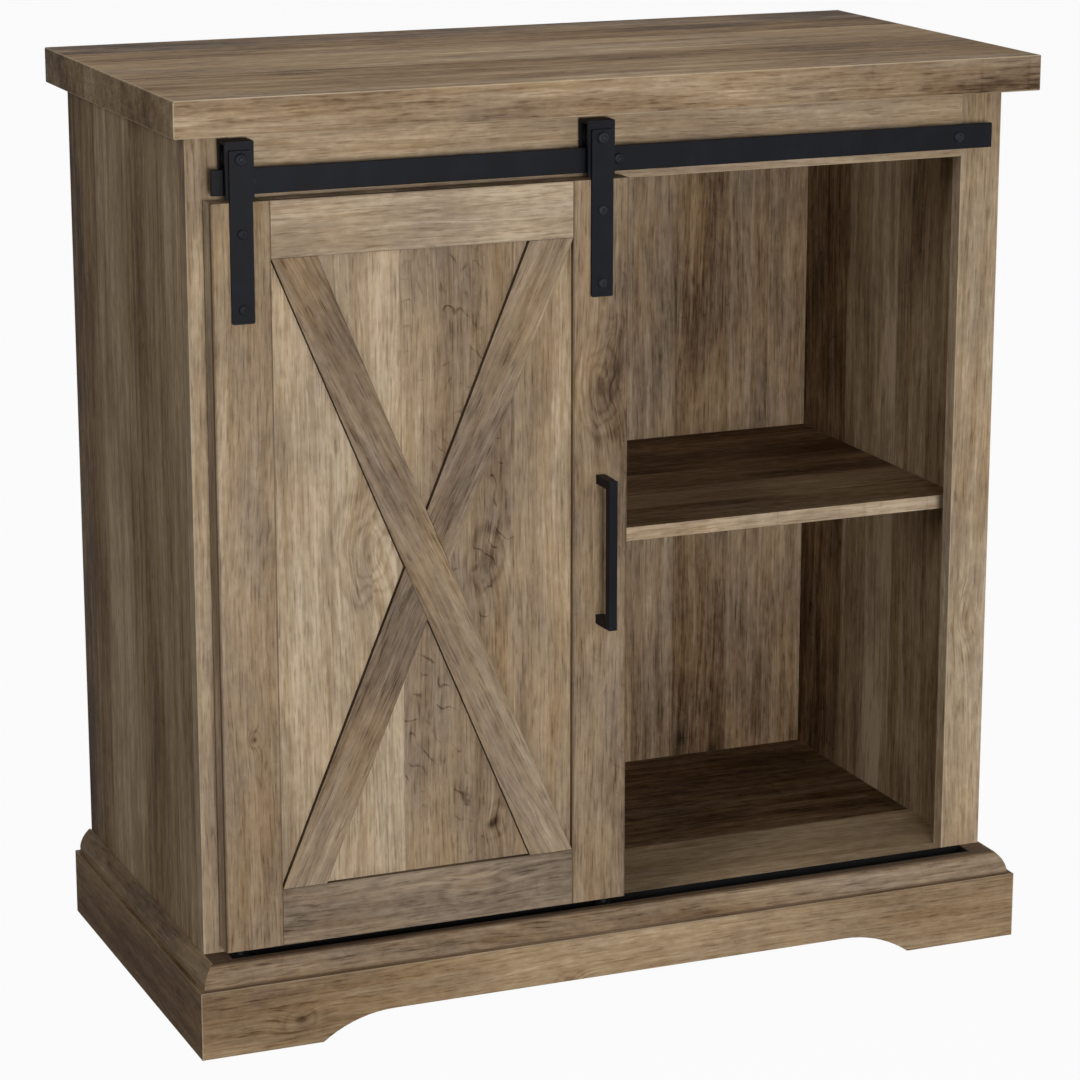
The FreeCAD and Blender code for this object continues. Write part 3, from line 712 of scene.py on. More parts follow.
    def knots_on(
        self,
        sheet: Sheet,
        along: Socket,
        across: Socket,
        along_size: float,
        across_size: float,
        wander: Socket,
    ) -> tuple[Value, Value]:
        """Adds the board's knots.

        Args:
            sheet: the material's nodes.
            along: the place along the grain.
            across: the place across the grain.
            along_size: the board's length along the grain.
            across_size: the board's width across the grain.
            wander: how far the grain strays, which puts the knots out of round.

        Returns:
            How far the knots push the growth rings, and how dark their cores make the wood.
        """
        eye: Value = sheet.times(along, 0.0)
        core: Value = sheet.times(along, 0.0)
        for knot in self.knots:
            wobble = self.layered(sheet, self.KNOT_WOBBLE, along, across, 2.0)
            astray = sheet.math("MULTIPLY_ADD", wobble, 0.7 * knot.reach, -0.35 * knot.reach)
            run = sheet.math("ADD", along, sheet.times(astray, 2.0))
            run = sheet.math("SUBTRACT", run, knot.along * along_size)
            side = sheet.math("SUBTRACT", sheet.math("ADD", across, astray), knot.across * across_size)
            side = sheet.math("MULTIPLY_ADD", wander, 0.6 * knot.reach, side)
            run = sheet.math("ABSOLUTE", sheet.times(run, 1.0 / (knot.reach * knot.stretch)))
            side = sheet.math("ABSOLUTE", sheet.times(side, 1.0 / knot.reach))
            squared = sheet.math("ADD", sheet.math("POWER", run, 2.0), sheet.math("POWER", side, 2.0))
            hill = sheet.math("EXPONENT", sheet.times(squared, -1.0))
            eye = sheet.math("MULTIPLY_ADD", hill, knot.swirl, eye)
            dark = sheet.math("POWER", hill, self.CORE_SHARPNESS)
            core = sheet.math("MULTIPLY_ADD", dark, knot.core, core)
        return eye, core

    def edges_on(
        self, sheet: Sheet, colour: Socket, point: Socket, low: Vector, high: Vector, streak: Socket
    ) -> Socket:
        """Darkens the joints with painted shade, lightens the edges with wear and a painted highlight, and
        darkens the thin edge faces with painted shade.

        Args:
            sheet: the material's nodes.
            colour: the board's colour so far.
            point: the place from the board's lowest corner.
            low: the board's lowest corner.
            high: the board's highest corner.
            streak: the grain's streaks, which break the wear up.

        Returns:
            The colour.
        """
        # Painted shade: a dark band along the two edges that run with the grain, where the board meets the
        # next one.
        if self.joint_shade:
            size = tuple(high - low)
            near = sheet.vector("MINIMUM", point, sheet.vector("SUBTRACT", size, point).outputs[0]).outputs[0]
            near = sheet.reach(near, self.across)
            joint_shade_mask = sheet.math("SUBTRACT", 1.0, sheet.between(near, 0.3 * self.JOINT_SHADE_WIDTH, self.JOINT_SHADE_WIDTH))
            colour = sheet.blend(sheet.times(joint_shade_mask, self.joint_shade), colour, self.JOINT_SHADE_COLOUR)
        # Wear and a painted highlight: a light line along the board's edges, broken up by the streaks.
        if self.worn:
            size = tuple(high - low)
            near = sheet.vector("MINIMUM", point, sheet.vector("SUBTRACT", size, point).outputs[0]).outputs[0]
            first, second, third = sheet.split(near)
            middle = sheet.math(
                "MAXIMUM",
                sheet.math("MINIMUM", first, second),
                sheet.math("MINIMUM", sheet.math("MAXIMUM", first, second), third),
            )
            edge = sheet.math("SUBTRACT", 1.0, sheet.between(middle, 0.0, self.WEAR_AND_HIGHLIGHT_WIDTH))
            broken = sheet.math("MULTIPLY_ADD", streak, 1.2, 0.1)
            shown = sheet.times(sheet.times(edge, broken), self.worn)
            colour = sheet.blend(shown, colour, self.WEAR_AND_HIGHLIGHT_COLOUR)
        # Painted shade: the thin edge faces, which stand back from the light, are darkened.
        if self.edge_face_shade:
            thin = sheet.math("SUBTRACT", 1.0, sheet.facing(self.face))
            colour = sheet.blend(sheet.times(thin, self.edge_face_shade), colour, self.EDGE_FACE_SHADE_COLOUR)
        return colour


@dataclass(frozen=True)
class BlackSteel:
    """Satin black powder coat on steel, with the coat's fine orange peel and rubbed patches.

    Attributes:
        name: the material's name.
        dark: the colour of the coat.
        rubbed: the colour where it has been rubbed.
        roughness: how matte the coat is.
    """

    name: str = "black_powder_coat"
    dark: Triple = (11, 12, 17)
    rubbed: Triple = (19, 21, 28)
    roughness: float = 0.46

    PEEL = (900.0, 900.0, 900.0)
    RUBS = (38.0, 38.0, 21.0)

    def material(self) -> bpy.types.Material:
        """Makes the finish and returns its material."""
        sheet = Sheet(self.name)
        place = sheet.place()
        peel = sheet.noise(sheet.cells(place, self.PEEL), 2.0)
        broad = sheet.noise(sheet.cells(place, self.RUBS), 3.0, 0.6)
        colour = sheet.blend(sheet.between(broad, 0.38, 0.75), paint(*self.dark), paint(*self.rubbed))
        roughness = sheet.math("MULTIPLY_ADD", broad, 0.2, self.roughness - 0.1)
        return sheet.finish(colour, roughness, specular=0.1, height=peel, relief=0.00004)


@dataclass(frozen=True)
class WornSteel(BlackSteel):
    """The same coat on bolt heads, where tools have rubbed it.

    Attributes:
        dark: the colour of the coat.
        rubbed: the colour where it has been rubbed.
    """

    dark: Triple = (26, 28, 34)
    rubbed: Triple = (58, 60, 66)


@dataclass(frozen=True)
class Moulding:
    """Moulded plastic with a fine spark-eroded grain.

    Attributes:
        name: the material's name.
        colour: the plastic's colour.
        roughness: how matte it is.
    """

    name: str
    colour: Triple
    roughness: float = 0.6

    GRAIN = (1400.0, 1400.0, 1400.0)
    CLOUDS = (60.0, 60.0, 60.0)

    def material(self) -> bpy.types.Material:
        """Makes the finish and returns its material."""
        sheet = Sheet(self.name)
        place = sheet.place()
        fine = sheet.noise(sheet.cells(place, self.GRAIN), 2.0)
        broad = sheet.noise(sheet.cells(place, self.CLOUDS), 2.0)
        pale = tuple(min(255.0, part * 1.25 + 6.0) for part in self.colour)
        colour = sheet.blend(sheet.between(broad, 0.3, 0.8), paint(*self.colour), paint(*pale))
        roughness = sheet.math("MULTIPLY_ADD", fine, 0.15, self.roughness)
        return sheet.finish(colour, roughness, specular=0.12, height=fine, relief=0.00005)


@dataclass(frozen=True)
class Zinc:
    """Bright zinc plate with faint turning marks and dull spots.

    Attributes:
        name: the material's name.
        colour: the plate's colour.
        dull: the colour of its dull spots.
    """

    name: str = "zinc_plate"
    colour: Triple = (176, 176, 172)
    dull: Triple = (122, 124, 122)

    SPOTS = (240.0, 240.0, 240.0)

    def material(self) -> bpy.types.Material:
        """Makes the finish and returns its material."""
        sheet = Sheet(self.name)
        spots = sheet.noise(sheet.cells(sheet.place(), self.SPOTS), 3.0, 0.6)
        colour = sheet.blend(sheet.between(spots, 0.4, 0.8), paint(*self.colour), paint(*self.dull))
        roughness = sheet.math("MULTIPLY_ADD", spots, 0.3, 0.22)
        return sheet.finish(colour, roughness, metallic=1.0, height=spots, relief=0.00003)


@dataclass(frozen=True)
class BareWood:
    """Unfinished softwood, for the blocks, cleats and dowels inside.

    Attributes:
        name: the material's name.
        grain: the direction that the grain runs.
    """

    name: str
    grain: Axis

    COARSE, FINE, FINER = 7.0, 110.0, 6.0
    PALE = paint(214, 186, 143)
    DARK = paint(183, 146, 100)
    LINES = paint(150, 112, 72)

    def material(self) -> bpy.types.Material:
        """Makes the finish and returns its material."""
        sheet = Sheet(self.name)
        counts = tuple(self.COARSE if part else self.FINE for part in self.grain.value)
        finer = tuple(self.FINER * count for count in counts)
        wide = sheet.noise(sheet.cells(sheet.place(), counts), 4.0, 0.6)
        thin = sheet.noise(sheet.cells(sheet.place(), finer), 2.0)
        colour = sheet.blend(sheet.between(wide, 0.3, 0.75), self.PALE, self.DARK)
        colour = sheet.blend(sheet.times(sheet.between(thin, 0.5, 0.8), 0.4), colour, self.LINES)
        roughness = sheet.math("MULTIPLY_ADD", thin, 0.2, 0.62)
        return sheet.finish(colour, roughness, specular=0.25, height=thin, relief=0.0002)


# ---- helpers ----------------------------------------------------------------------------------
def dress(node: str, material: bpy.types.Material) -> None:
    """Puts one finish on all of a CAD node.

    Args:
        node: the node's name.
        material: the finish.
    """
    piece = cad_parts[node]
    if not piece.material_slots:
        piece.data.materials.append(material)
    for slot in piece.material_slots:
        slot.material = material
    log.info("dressed %s in %s", node, material.name)


def dress_board(node: str, oak: Oak) -> None:
    """Makes an oak finish to a CAD board's own size and puts it on.

    Args:
        node: the board's name.
        oak: its finish.
    """
    dress(node, oak.material("oak_" + node, *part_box(node)))


def solids_of(node: str, apart: float = 0.012) -> list[tuple[Vector, Vector]]:
    """Finds the separate fasteners of a CAD node that lie side by side in the wide-high plane.

    Args:
        node: the node's name.
        apart: two points further apart than this belong to different fasteners, in metres.

    Returns:
        Each fastener's lowest and highest corner.
    """
    groups: list[list[Vector]] = []
    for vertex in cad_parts[node].data.vertices:
        for group in groups:
            seen = group[0]
            if abs(seen.x - vertex.co.x) < apart and abs(seen.z - vertex.co.z) < apart:
                group.append(vertex.co)
                break
        else:
            groups.append([vertex.co])
    return [
        (Vector(map(min, *[tuple(co) for co in group])), Vector(map(max, *[tuple(co) for co in group])))
        for group in groups
    ]


# ---- fasteners --------------------------------------------------------------------------------
@dataclass
class DomedBolts:
    """Bolts with a domed head and a hexagon socket, whose heads look out of the front.

    Attributes:
        node: the CAD node that they stand for.
        body: what they ride on.
        slot: not used.
        head_height: the height of the dome.
        shank_radius: the radius of the shank.
        socket_share: the socket's size against the head's radius.
        sides: the faces round a head.
    """

    node: str
    body: Body
    slot: str = "black_steel"
    head_height: float = 2.3 * MM
    shank_radius: float = 2.0 * MM
    socket_share: float = 0.46
    sides: int = 48

    FLOOR_WIDTH, FLOOR_DEPTH = 0.9, 0.72
    CORNER_DEPTH, LIP_DEPTH, MOUTH_WIDTH = 0.66, 0.06, 1.22
    CROWN_DROP, CROWN_STEPS = 0.82, 6
    END_BEVEL, END_WIDTH = 0.4 * MM, 0.7
    SHARP = math.radians(35)

    def ring(self, radius: float, hexagon: bool = False) -> list[tuple[float, float]]:
        """Lists points round a circle or a hexagon.

        Args:
            radius: the circle's radius, or the hexagon's radius to its flats.
            hexagon: whether it is a hexagon.

        Returns:
            The points' x and z.
        """
        points = []
        for number in range(self.sides):
            turn = math.tau * number / self.sides
            reach = radius / math.cos(turn % (math.pi / 3) - math.pi / 6) if hexagon else radius
            points.append((reach * math.cos(turn), reach * math.sin(turn)))
        return points

    def profile(self, radius: float, depth: float) -> list[tuple[list[tuple[float, float]], float]]:
        """Lists the rings of one bolt, from the bottom of its socket round to the shank's end.

        Args:
            radius: the head's radius.
            depth: the bolt's whole length.

        Returns:
            Each ring's points, and its place behind the front of the head.
        """
        socket = radius * self.socket_share
        mouth = socket * self.MOUTH_WIDTH
        head = self.head_height
        rings = [
            (self.ring(socket * self.FLOOR_WIDTH, hexagon=True), head * self.FLOOR_DEPTH),
            (self.ring(socket, hexagon=True), head * self.CORNER_DEPTH),
            (self.ring(socket, hexagon=True), head * self.LIP_DEPTH),
            (self.ring(mouth), 0.0),
        ]
        for step in range(1, self.CROWN_STEPS + 1):
            swing = math.pi / 2 * step / self.CROWN_STEPS
            across = mouth + (radius - mouth) * math.sin(swing)
            drop = self.CROWN_DROP - self.CROWN_DROP * math.cos(swing)
            rings.append((self.ring(across), head * drop))
        rings.append((self.ring(radius), head))
        rings.append((self.ring(self.shank_radius), head))
        rings.append((self.ring(self.shank_radius), depth - self.END_BEVEL))
        rings.append((self.ring(self.shank_radius * self.END_WIDTH), depth))
        return rings

    def build(self, material: bpy.types.Material) -> bpy.types.Object:
        """Makes the bolts as one piece and sets it to ride.

        Args:
            material: the finish.

        Returns:
            The piece.
        """
        shape = bmesh.new()
        for low, high in solids_of(self.node):
            middle = (low + high) / 2
            rings = []
            for points, back in self.profile((high.x - low.x) / 2, high.y - low.y):
                rings.append([shape.verts.new((middle.x + x, low.y + back, middle.z + z)) for x, z in points])
            shape.faces.new(rings[0])
            for inner, outer in zip(rings, rings[1:]):
                for number in range(self.sides):
                    after = (number + 1) % self.sides
                    shape.faces.new((inner[number], inner[after], outer[after], outer[number]))
            shape.faces.new(list(reversed(rings[-1])))
        bmesh.ops.recalc_face_normals(shape, faces=shape.faces)
        mesh = bpy.data.meshes.new(self.node + "_domed")
        shape.to_mesh(mesh)
        shape.free()
        piece = bpy.data.objects.new(self.node + "_domed", mesh)
        bpy.context.scene.collection.objects.link(piece)
        mesh.materials.append(material)
        mesh.shade_smooth()
        mesh.set_sharp_from_angle(angle=self.SHARP)
        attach(piece, self.body.value)
        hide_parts(self.node)
        log.info("made %s", piece.name)
        return piece


# ---- sub-assemblies ---------------------------------------------------------------------------
@dataclass
class Case:
    """The box: top, sides, back, divider, floor and shelves, with what holds them together."""

    top_planks: tuple[Plank, ...] = (
        Plank(28, 0.55, 0.6),
        Plank(124, 0.46, 0.9, 0.5, 0.05),
        Plank(116, 0.63, 0.9, 0.1, -0.03),
        Plank(66, 0.4, 0.9, 0.4),
        Plank(66, 0.35, 0.4, 0.4),
    )
    side_planks: tuple[Plank, ...] = (
        Plank(50, 0.62, 1.3, 0.1),
        Plank(100, 0.49, 1.7, 0.3, 0.18),
        Plank(112, 0.71, 1.4, 0.1),
        Plank(44, 0.39, 1.4, 0.3),
        Plank(40, 0.26, 0.6, 0.3, 0.08),
    )
    # Partly painted shade: the inner right side darkens towards the back corner, where less light reaches.
    right_planks: tuple[Plank, ...] = (
        Plank(146, 0.59, 0.9, 0.3),
        Plank(55, 0.8, 0.7, 0.1),
        Plank(50, 0.66, 0.8, 0.2, 0.06),
        Plank(95, 0.36, 0.9, 0.5, 0.08),
    )
    back_planks: tuple[Plank, ...] = (
        Plank(70, 0.5, 0.5),
        Plank(55, 0.6, 0.5),
        Plank(90, 0.42, 0.5, 0.3),
        Plank(60, 0.55, 0.5),
        Plank(75, 0.48, 0.5),
        Plank(70, 0.58, 0.5),
        Plank(75, 0.5, 0.5, 0.2),
        Plank(75, 0.62, 0.5),
        Plank(48, 0.56, 0.4, 0.1),
        Plank(60, 0.38, 0.7, 0.3),
        Plank(41, 0.51, 0.5, 0.1),
        Plank(54, 0.47, 0.6, 0.2),
    )
    # Partly painted shade: the shelf darkens towards the back, in the shadow of the header and the top.
    shelf_planks: tuple[Plank, ...] = (
        Plank(62, 0.5, 1.0, 0.4),
        Plank(60, 0.62, 0.9, 0.2),
        Plank(60, 0.43, 0.9, 0.3),
        Plank(140, 0.3, 0.8, 0.5, 0.04),
    )
    # Painted light and shade: the front plank is lighter where light falls in under the header, and the
    # planks behind are darker in its shadow.
    floor_planks: tuple[Plank, ...] = (
        Plank(112, 0.75, 0.9, 0.3, 0.05),
        Plank(90, 0.3, 0.9, 0.3, 0.05),
        Plank(154, 0.275, 0.8, 0.5),
    )

    def dress(self) -> None:
        """Puts the finishes on."""
        wide, deep, high = Axis.WIDE.way, Axis.DEEP.way, Axis.HIGH.way
        course = (-0.02, 0.02, 0.04, 0.01, -0.05)
        # The top's front edge gets the strongest wear and painted highlight.
        dress_board(
            "top_panel",
            Oak(wide, deep, self.top_planks, seed=1.3, course=course, contrast=1.4, worn=1.0),
        )
        # The left side gets painted shade along its joint with the stile.
        dress_board(
            "side_left",
            Oak(high, deep, self.side_planks, seed=2.1, contrast=1.7, worn=0.2, joint_shade=0.6),
        )
        dress_board("side_right", Oak(high, deep, self.right_planks, seed=3.1, contrast=1.7, worn=0.2))
        course = (-0.22, -0.07, 0.08, 0.02, -0.01, 0.03, 0.04)
        dress_board(
            "back_panel",
            Oak(high, wide, self.back_planks, seed=4.6, course=course, contrast=1.3, worn=0.0),
        )
        dress_board("divider", Oak(high, deep, self.side_planks, seed=5.2, worn=0.4))
        dress_board("floor_panel", Oak(wide, deep, self.floor_planks, seed=6.4, worn=0.3))
        # The shelves' front edges get painted light.
        for number, shelf in enumerate(("shelf_left", "shelf_right")):
            seed = 7.7 + number
            dress_board(shelf, Oak(wide, deep, self.shelf_planks, seed=seed, worn=0.3, front_light=0.34))
        dress("top_dowels", BareWood("dowel_wood", Axis.HIGH).material())
        zinc = Zinc().material()
        dress("back_screws", zinc)
        dress("shelf_pins", zinc)


@dataclass
class FaceFrame:
    """The two stiles and the header rail that trim the front of the case."""

    stile_planks: tuple[Plank, ...] = (Plank(1, 0.74, 0.5, 0.1),)
    header_planks: tuple[Plank, ...] = (Plank(1, 0.69, 0.5, 0.1),)

    def dress(self) -> None:
        """Puts the finishes on."""
        wide, high = Axis.WIDE.way, Axis.HIGH.way
        for number, stile in enumerate(("stile_left", "stile_right")):
            knots = (Knot(0.33, 0.5, 0.012, 2.5),) if number else ()
            # Painted shade: the stiles darken towards the top, under the top's overhang.
            course = (0.0, 0.0, 0.0, 0.0, 0.0, 0.0, -0.06, -0.24)
            dress_board(stile, Oak(high, wide, self.stile_planks, knots, 9.1 + number, course))
        course = (0.05, 0.05, 0.04, -0.06, 0.01, 0.0)
        dress_board("header_rail", Oak(wide, high, self.header_planks, seed=11.3, course=course))


@dataclass
class Plinth:
    """The skirt with its cap moulding, and the blocks and feet behind it."""

    skirt_knots: tuple[Knot, ...] = (
        Knot(0.432, 0.35, 0.009, 2.0, 0.9, 1.4),
        Knot(0.11, 0.4, 0.012, 2.0, 0.35, 1.6),
    )

    def dress(self) -> None:
        """Puts the finishes on."""
        wide, deep, high = Axis.WIDE.way, Axis.DEEP.way, Axis.HIGH.way
        # The skirt and the cap get painted shade along their joints.
        course = (-0.1, -0.05, 0.0, 0.05, 0.07, 0.04, -0.01, -0.03)
        planks = (Plank(1, 0.6, 0.9, 0.2),)
        dress_board("skirt_front", Oak(wide, high, planks, self.skirt_knots, 12.9, course, joint_shade=0.4))
        course, planks = (-0.01, -0.05, -0.05, 0.04, 0.09), (Plank(1, 0.54, 0.5),)
        dress_board("cap_front", Oak(wide, high, planks, seed=13.7, course=course, worn=0.1, joint_shade=0.7))
        for number, side in enumerate(("left", "right")):
            dress_board("skirt_" + side, Oak(deep, high, (Plank(1, 0.37, 1.2),), seed=14.2 + number))
            dress_board("cap_" + side, Oak(deep, high, (Plank(1, 0.52, 0.5),), seed=16.6 + number))
        dress_board("plinth_back_rail", Oak(wide, high, (Plank(1, 0.5, 0.5),), seed=18.4))
        lengthwise = BareWood("softwood_lengthwise", Axis.WIDE).material()
        for node in ("floor_cleat_front", "floor_cleat_back"):
            dress(node, lengthwise)
        backward = BareWood("softwood_backward", Axis.DEEP).material()
        for node in ("bearer_left", "bearer_right"):
            dress(node, backward)
        upright = BareWood("softwood_upright", Axis.HIGH).material()
        for node in ("corner_blocks", "centre_foot"):
            dress(node, upright)
        dress("glides", Moulding("glide_moulding", (22, 22, 24)).material())
        dress("guide_channel", Moulding("channel_moulding", (9, 8, 8), 0.7).material())


@dataclass
class Track:
    """The flat steel bar that the door hangs on, with its spacers and bolts."""

    def dress(self, steel: bpy.types.Material) -> None:
        """Puts the finishes on and makes the bolts.

        Args:
            steel: the black powder coat.
        """
        dress("track_bar", steel)
        dress("track_spacers", steel)
        DomedBolts("track_bolts", Body.CABINET).build(WornSteel("worn_track_bolts").material())


@dataclass
class Door:
    """The sliding door: a panel framed by stiles and rails, with braces in an X."""

    panel_planks: tuple[Plank, ...] = (
        Plank(52, 0.72, 0.5, 0.0),
        Plank(88, 0.79, 0.5, 0.0),
        Plank(28, 0.84, 0.5, 0.0),
        Plank(105, 0.56, 0.45, 1.0, 0.12),
        Plank(106, 0.65, 0.5, 0.1, -0.03),
    )
    panel_knots: tuple[Knot, ...] = (
        Knot(0.53, 0.36, 0.024, 4.0, 0.0, 1.7),
        Knot(0.5, 0.66, 0.018, 1.8, 0.15, 1.5),
        Knot(0.13, 0.665, 0.013, 1.2, 0.9, 1.2),
    )

    def dress(self) -> None:
        """Puts the finishes on."""
        wide, high = Axis.WIDE.way, Axis.HIGH.way
        dress_board("door_panel", Oak(high, wide, self.panel_planks, self.panel_knots, 21.7, rings=1.3))
        # The door's stiles and rails get painted shade along their joints.
        course = (-0.07, -0.02, 0.04, 0.06, 0.04, -0.05, -0.06)
        planks, knots = (Plank(1, 0.6, 0.55),), (Knot(0.29, 0.55, 0.006, 1.5, 0.6, 1.4),)
        dress_board("door_stile_left", Oak(high, wide, planks, knots, 22.4, course, worn=0.1, joint_shade=0.5))
        course = (-0.02, 0.02, 0.06, 0.04, -0.01, -0.08, -0.06, 0.03)
        planks, knots = (Plank(1, 0.53, 0.45, 0.3),), (Knot(0.72, 0.5, 0.02, 3.5, 0.2, 1.8),)
        dress_board("door_stile_right", Oak(high, wide, planks, knots, 23.6, course, worn=0.1, joint_shade=0.5))
        # The rails' thin edge faces get painted shade.
        planks, knots = (Plank(1, 0.79, 0.25, 0.0),), ()
        dress_board("door_rail_top", Oak(wide, high, planks, knots, 24.8, worn=0.1, joint_shade=0.3, edge_face_shade=0.5))
        course = (-0.09, 0.0, 0.04, 0.03, -0.01)
        planks, knots = (Plank(1, 0.56, 0.1),), (Knot(0.68, 0.6, 0.014),)
        dress_board(
            "door_rail_bottom",
            Oak(wide, high, planks, knots, 25.3, course, worn=0.1, joint_shade=0.3, edge_face_shade=0.5),
        )
        self.dress_braces()

    def dress_braces(self) -> None:
        """Puts the finishes on the braces, whose grain follows their slope."""
        low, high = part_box("brace_long")
        rise = Vector((high.x - low.x, 0.0, high.z - low.z)).normalized()
        fall = Vector((rise.x, 0.0, -rise.z))
        braces = (
            ("brace_long", fall, (-0.06, -0.04, -0.01, 0.04, 0.08)),
            ("brace_half_upper", rise, (0.0, 0.02, 0.0)),
            ("brace_half_lower", rise, (0.09, 0.0, -0.08)),
        )
        for number, (node, grain, course) in enumerate(braces):
            side = Vector((-grain.z, 0.0, grain.x))
            planks = (Plank(1, 0.54, 0.3, 0.1),)
            # The braces' thin edge faces get painted shade.
            oak = Oak(grain, side, planks, seed=26.0 + number, course=course, worn=0.0, edge_face_shade=0.8)
            dress_board(node, oak)


@dataclass
class Hangers:
    """The straps, saddles and rollers that carry the door, with the pins that guide it below."""

    def dress(self, steel: bpy.types.Material) -> None:
        """Puts the finishes on and makes the bolts.

        Args:
            steel: the black powder coat.
        """
        for side in ("left", "right"):
            dress("strap_" + side, steel)
            dress("carrier_" + side, steel)
            dress("roller_" + side, Moulding("roller_moulding_" + side, (24, 24, 26), 0.45).material())
        worn = WornSteel("worn_strap_bolts").material()
        DomedBolts("axle_bolts", Body.DOOR, shank_radius=3.0 * MM).build(worn)
        DomedBolts("strap_screws", Body.DOOR).build(worn)
        dress("guide_pins", Moulding("pin_moulding", (24, 24, 26), 0.5).material())


@dataclass
class Pull:
    """The square bar pull on its two posts."""

    def dress(self, steel: bpy.types.Material) -> None:
        """Puts the finishes on.

        Args:
            steel: the black powder coat.
        """
        dress("pull_bar", steel)
        dress("pull_posts", steel)
        dress("pull_screws", Zinc("zinc_pull_screws").material())


# ---- studio -----------------------------------------------------------------------------------
@dataclass
class Lamp:
    """A square soft box that looks at one point.

    Attributes:
        name: its name.
        place: where it stands, in metres from the middle of the cabinet.
        size: the length of its side.
        power: its power, in watts.
        spread: how wide its beam opens, in degrees.
    """

    name: str
    place: Triple
    size: float
    power: float
    spread: float = 180.0

    def build(self, target: Vector) -> None:
        """Makes the lamp.

        Args:
            target: the point that it looks at.
        """
        light = bpy.data.lights.new(self.name, "AREA")
        light.shape = "SQUARE"
        light.size = self.size
        light.energy = self.power
        light.spread = math.radians(self.spread)
        lamp = bpy.data.objects.new(self.name, light)
        bpy.context.scene.collection.objects.link(lamp)
        lamp.location = target + Vector(self.place)
        lamp.rotation_mode = "QUATERNION"
        lamp.rotation_quaternion = (target - lamp.location).to_track_quat("-Z", "Y")
        log.info("lit %s", self.name)


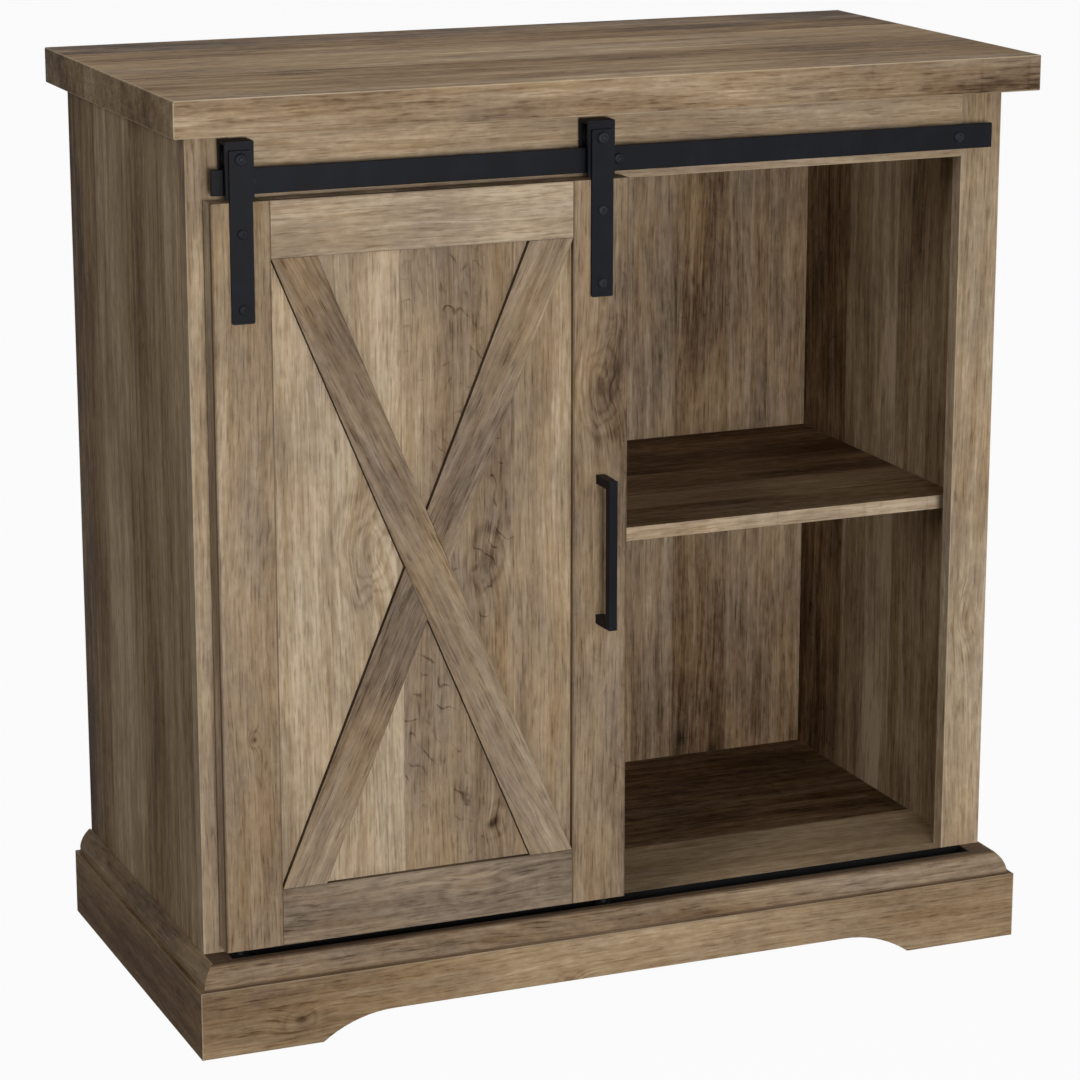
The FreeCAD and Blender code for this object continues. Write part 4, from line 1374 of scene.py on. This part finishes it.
@dataclass
class Studio:
    """A pale floor, soft light from all sides but below, and the camera.

    Attributes:
        lamps: the soft boxes.
        ambient: the strength of the light from all round.
        floor_size: the length of the floor's side, in metres.
        floor_glow: how far the floor shows as plain white, 0 to 1.
        camera_place: where the camera stands, in metres from the middle of the cabinet.
        camera_turn: how far it turns to the right of straight back, in degrees.
        camera_dip: how far it looks down, in degrees.
        lens: its focal length, in millimetres.
        sensor: the width of its picture, in millimetres.
    """

    lamps: tuple[Lamp, ...] = (
        Lamp("front_box", (-0.49, -3.95, 0.35), 1.2, 91.0),
        Lamp("right_box", (1.63, -3.5, 1.04), 1.5, 19.5),
        Lamp("left_box", (-3.14, -1.81, 1.69), 1.5, 27.0),
        Lamp("top_box", (0.0, -0.05, 3.0), 1.0, 30.0),
        Lamp("back_box", (0.7, 3.2, 0.0), 0.6, 4.0, 70.0),
        Lamp("side_box", (3.3, 0.4, 0.0), 0.6, 4.0, 70.0),
    )
    ambient: float = 0.03
    floor_size: float = 40.0
    floor_glow: float = 0.96
    camera_place: Triple = (-1.2596, -3.0254, 0.8145)
    camera_turn: float = 22.561
    camera_dip: float = 14.56
    lens: float = 120.6
    sensor: float = 36.0

    def white_to_camera(self, tree: bpy.types.NodeTree) -> Socket:
        """Adds the test for rays that the viewer sees straight, in a mirror or through glass.

        Args:
            tree: the nodes that it is added to.

        Returns:
            1 on such a ray, else 0.
        """
        path = tree.nodes.new("ShaderNodeLightPath")
        result = path.outputs["Is Camera Ray"]
        for name in ("Is Glossy Ray", "Is Transmission Ray"):
            either = tree.nodes.new("ShaderNodeMath")
            either.operation = "MAXIMUM"
            tree.links.new(result, either.inputs[0])
            tree.links.new(path.outputs[name], either.inputs[1])
            result = either.outputs[0]
        return result

    def build_world(self) -> None:
        """Makes the light from all round, which shows as white."""
        world = bpy.data.worlds.new("studio_world")
        bpy.context.scene.world = world
        world.use_nodes = True
        tree = world.node_tree
        tree.nodes.clear()
        seen = self.white_to_camera(tree)
        strength = tree.nodes.new("ShaderNodeMapRange")
        tree.links.new(seen, strength.inputs["Value"])
        strength.inputs["To Min"].default_value = self.ambient
        strength.inputs["To Max"].default_value = 1.0
        glow = tree.nodes.new("ShaderNodeBackground")
        glow.inputs["Color"].default_value = (1.0, 1.0, 1.0, 1.0)
        tree.links.new(strength.outputs[0], glow.inputs["Strength"])
        output = tree.nodes.new("ShaderNodeOutputWorld")
        tree.links.new(glow.outputs[0], output.inputs["Surface"])

    def build_floor(self, level: float) -> None:
        """Makes the floor.

        Args:
            level: its height.
        """
        half = self.floor_size / 2
        mesh = bpy.data.meshes.new("studio_floor")
        corners = [(half * x, half * y, level) for x, y in ((-1, -1), (1, -1), (1, 1), (-1, 1))]
        mesh.from_pydata(corners, [], [(0, 1, 2, 3)])
        floor = bpy.data.objects.new("studio_floor", mesh)
        bpy.context.scene.collection.objects.link(floor)
        sheet = Sheet("studio_floor")
        matte = sheet.node("ShaderNodeBsdfDiffuse")
        matte.inputs["Color"].default_value = paint(149, 149, 149)
        glow = sheet.node("ShaderNodeEmission")
        glow.inputs["Color"].default_value = (1.0, 1.0, 1.0, 1.0)
        mixed = sheet.node("ShaderNodeMixShader")
        sheet.feed(mixed.inputs[0], sheet.times(self.white_to_camera(sheet.tree), self.floor_glow))
        sheet.feed(mixed.inputs[1], matte.outputs[0])
        sheet.feed(mixed.inputs[2], glow.outputs[0])
        output = sheet.node("ShaderNodeOutputMaterial")
        sheet.feed(output.inputs["Surface"], mixed.outputs[0])
        mesh.materials.append(sheet.material)
        floor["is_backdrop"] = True

    def build_camera(self, middle: Vector) -> None:
        """Makes the camera.

        Args:
            middle: the middle of the cabinet.
        """
        lens = bpy.data.cameras.new("camera")
        lens.lens = self.lens
        lens.sensor_width = self.sensor
        lens.clip_end = 100.0
        camera = bpy.data.objects.new("camera", lens)
        bpy.context.scene.collection.objects.link(camera)
        camera.location = middle + Vector(self.camera_place)
        turn, dip = math.radians(self.camera_turn), math.radians(self.camera_dip)
        look = Vector((math.sin(turn) * math.cos(dip), math.cos(turn) * math.cos(dip), -math.sin(dip)))
        camera.rotation_mode = "QUATERNION"
        camera.rotation_quaternion = look.to_track_quat("-Z", "Y")
        bpy.context.scene.camera = camera

    def build(self) -> None:
        """Makes the whole studio."""
        low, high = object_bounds()
        middle = (low + high) / 2
        self.build_camera(middle)
        self.build_floor(low.z)
        self.build_world()
        for lamp in self.lamps:
            lamp.build(middle)
        bpy.context.scene.view_settings.view_transform = "Standard"
        log.info("studio ready")


def main() -> None:
    """Dresses the cabinet from the case to the door's fittings, and sets up the studio."""
    logging.basicConfig(level=logging.INFO, format="%(name)s: %(message)s")
    steel = BlackSteel().material()
    Case().dress()
    FaceFrame().dress()
    Plinth().dress()
    Track().dress(steel)
    Door().dress()
    Hangers().dress(steel)
    Pull().dress(steel)
    Studio().build()
    log.info("size written")


if __name__ == "__main__":
    main()
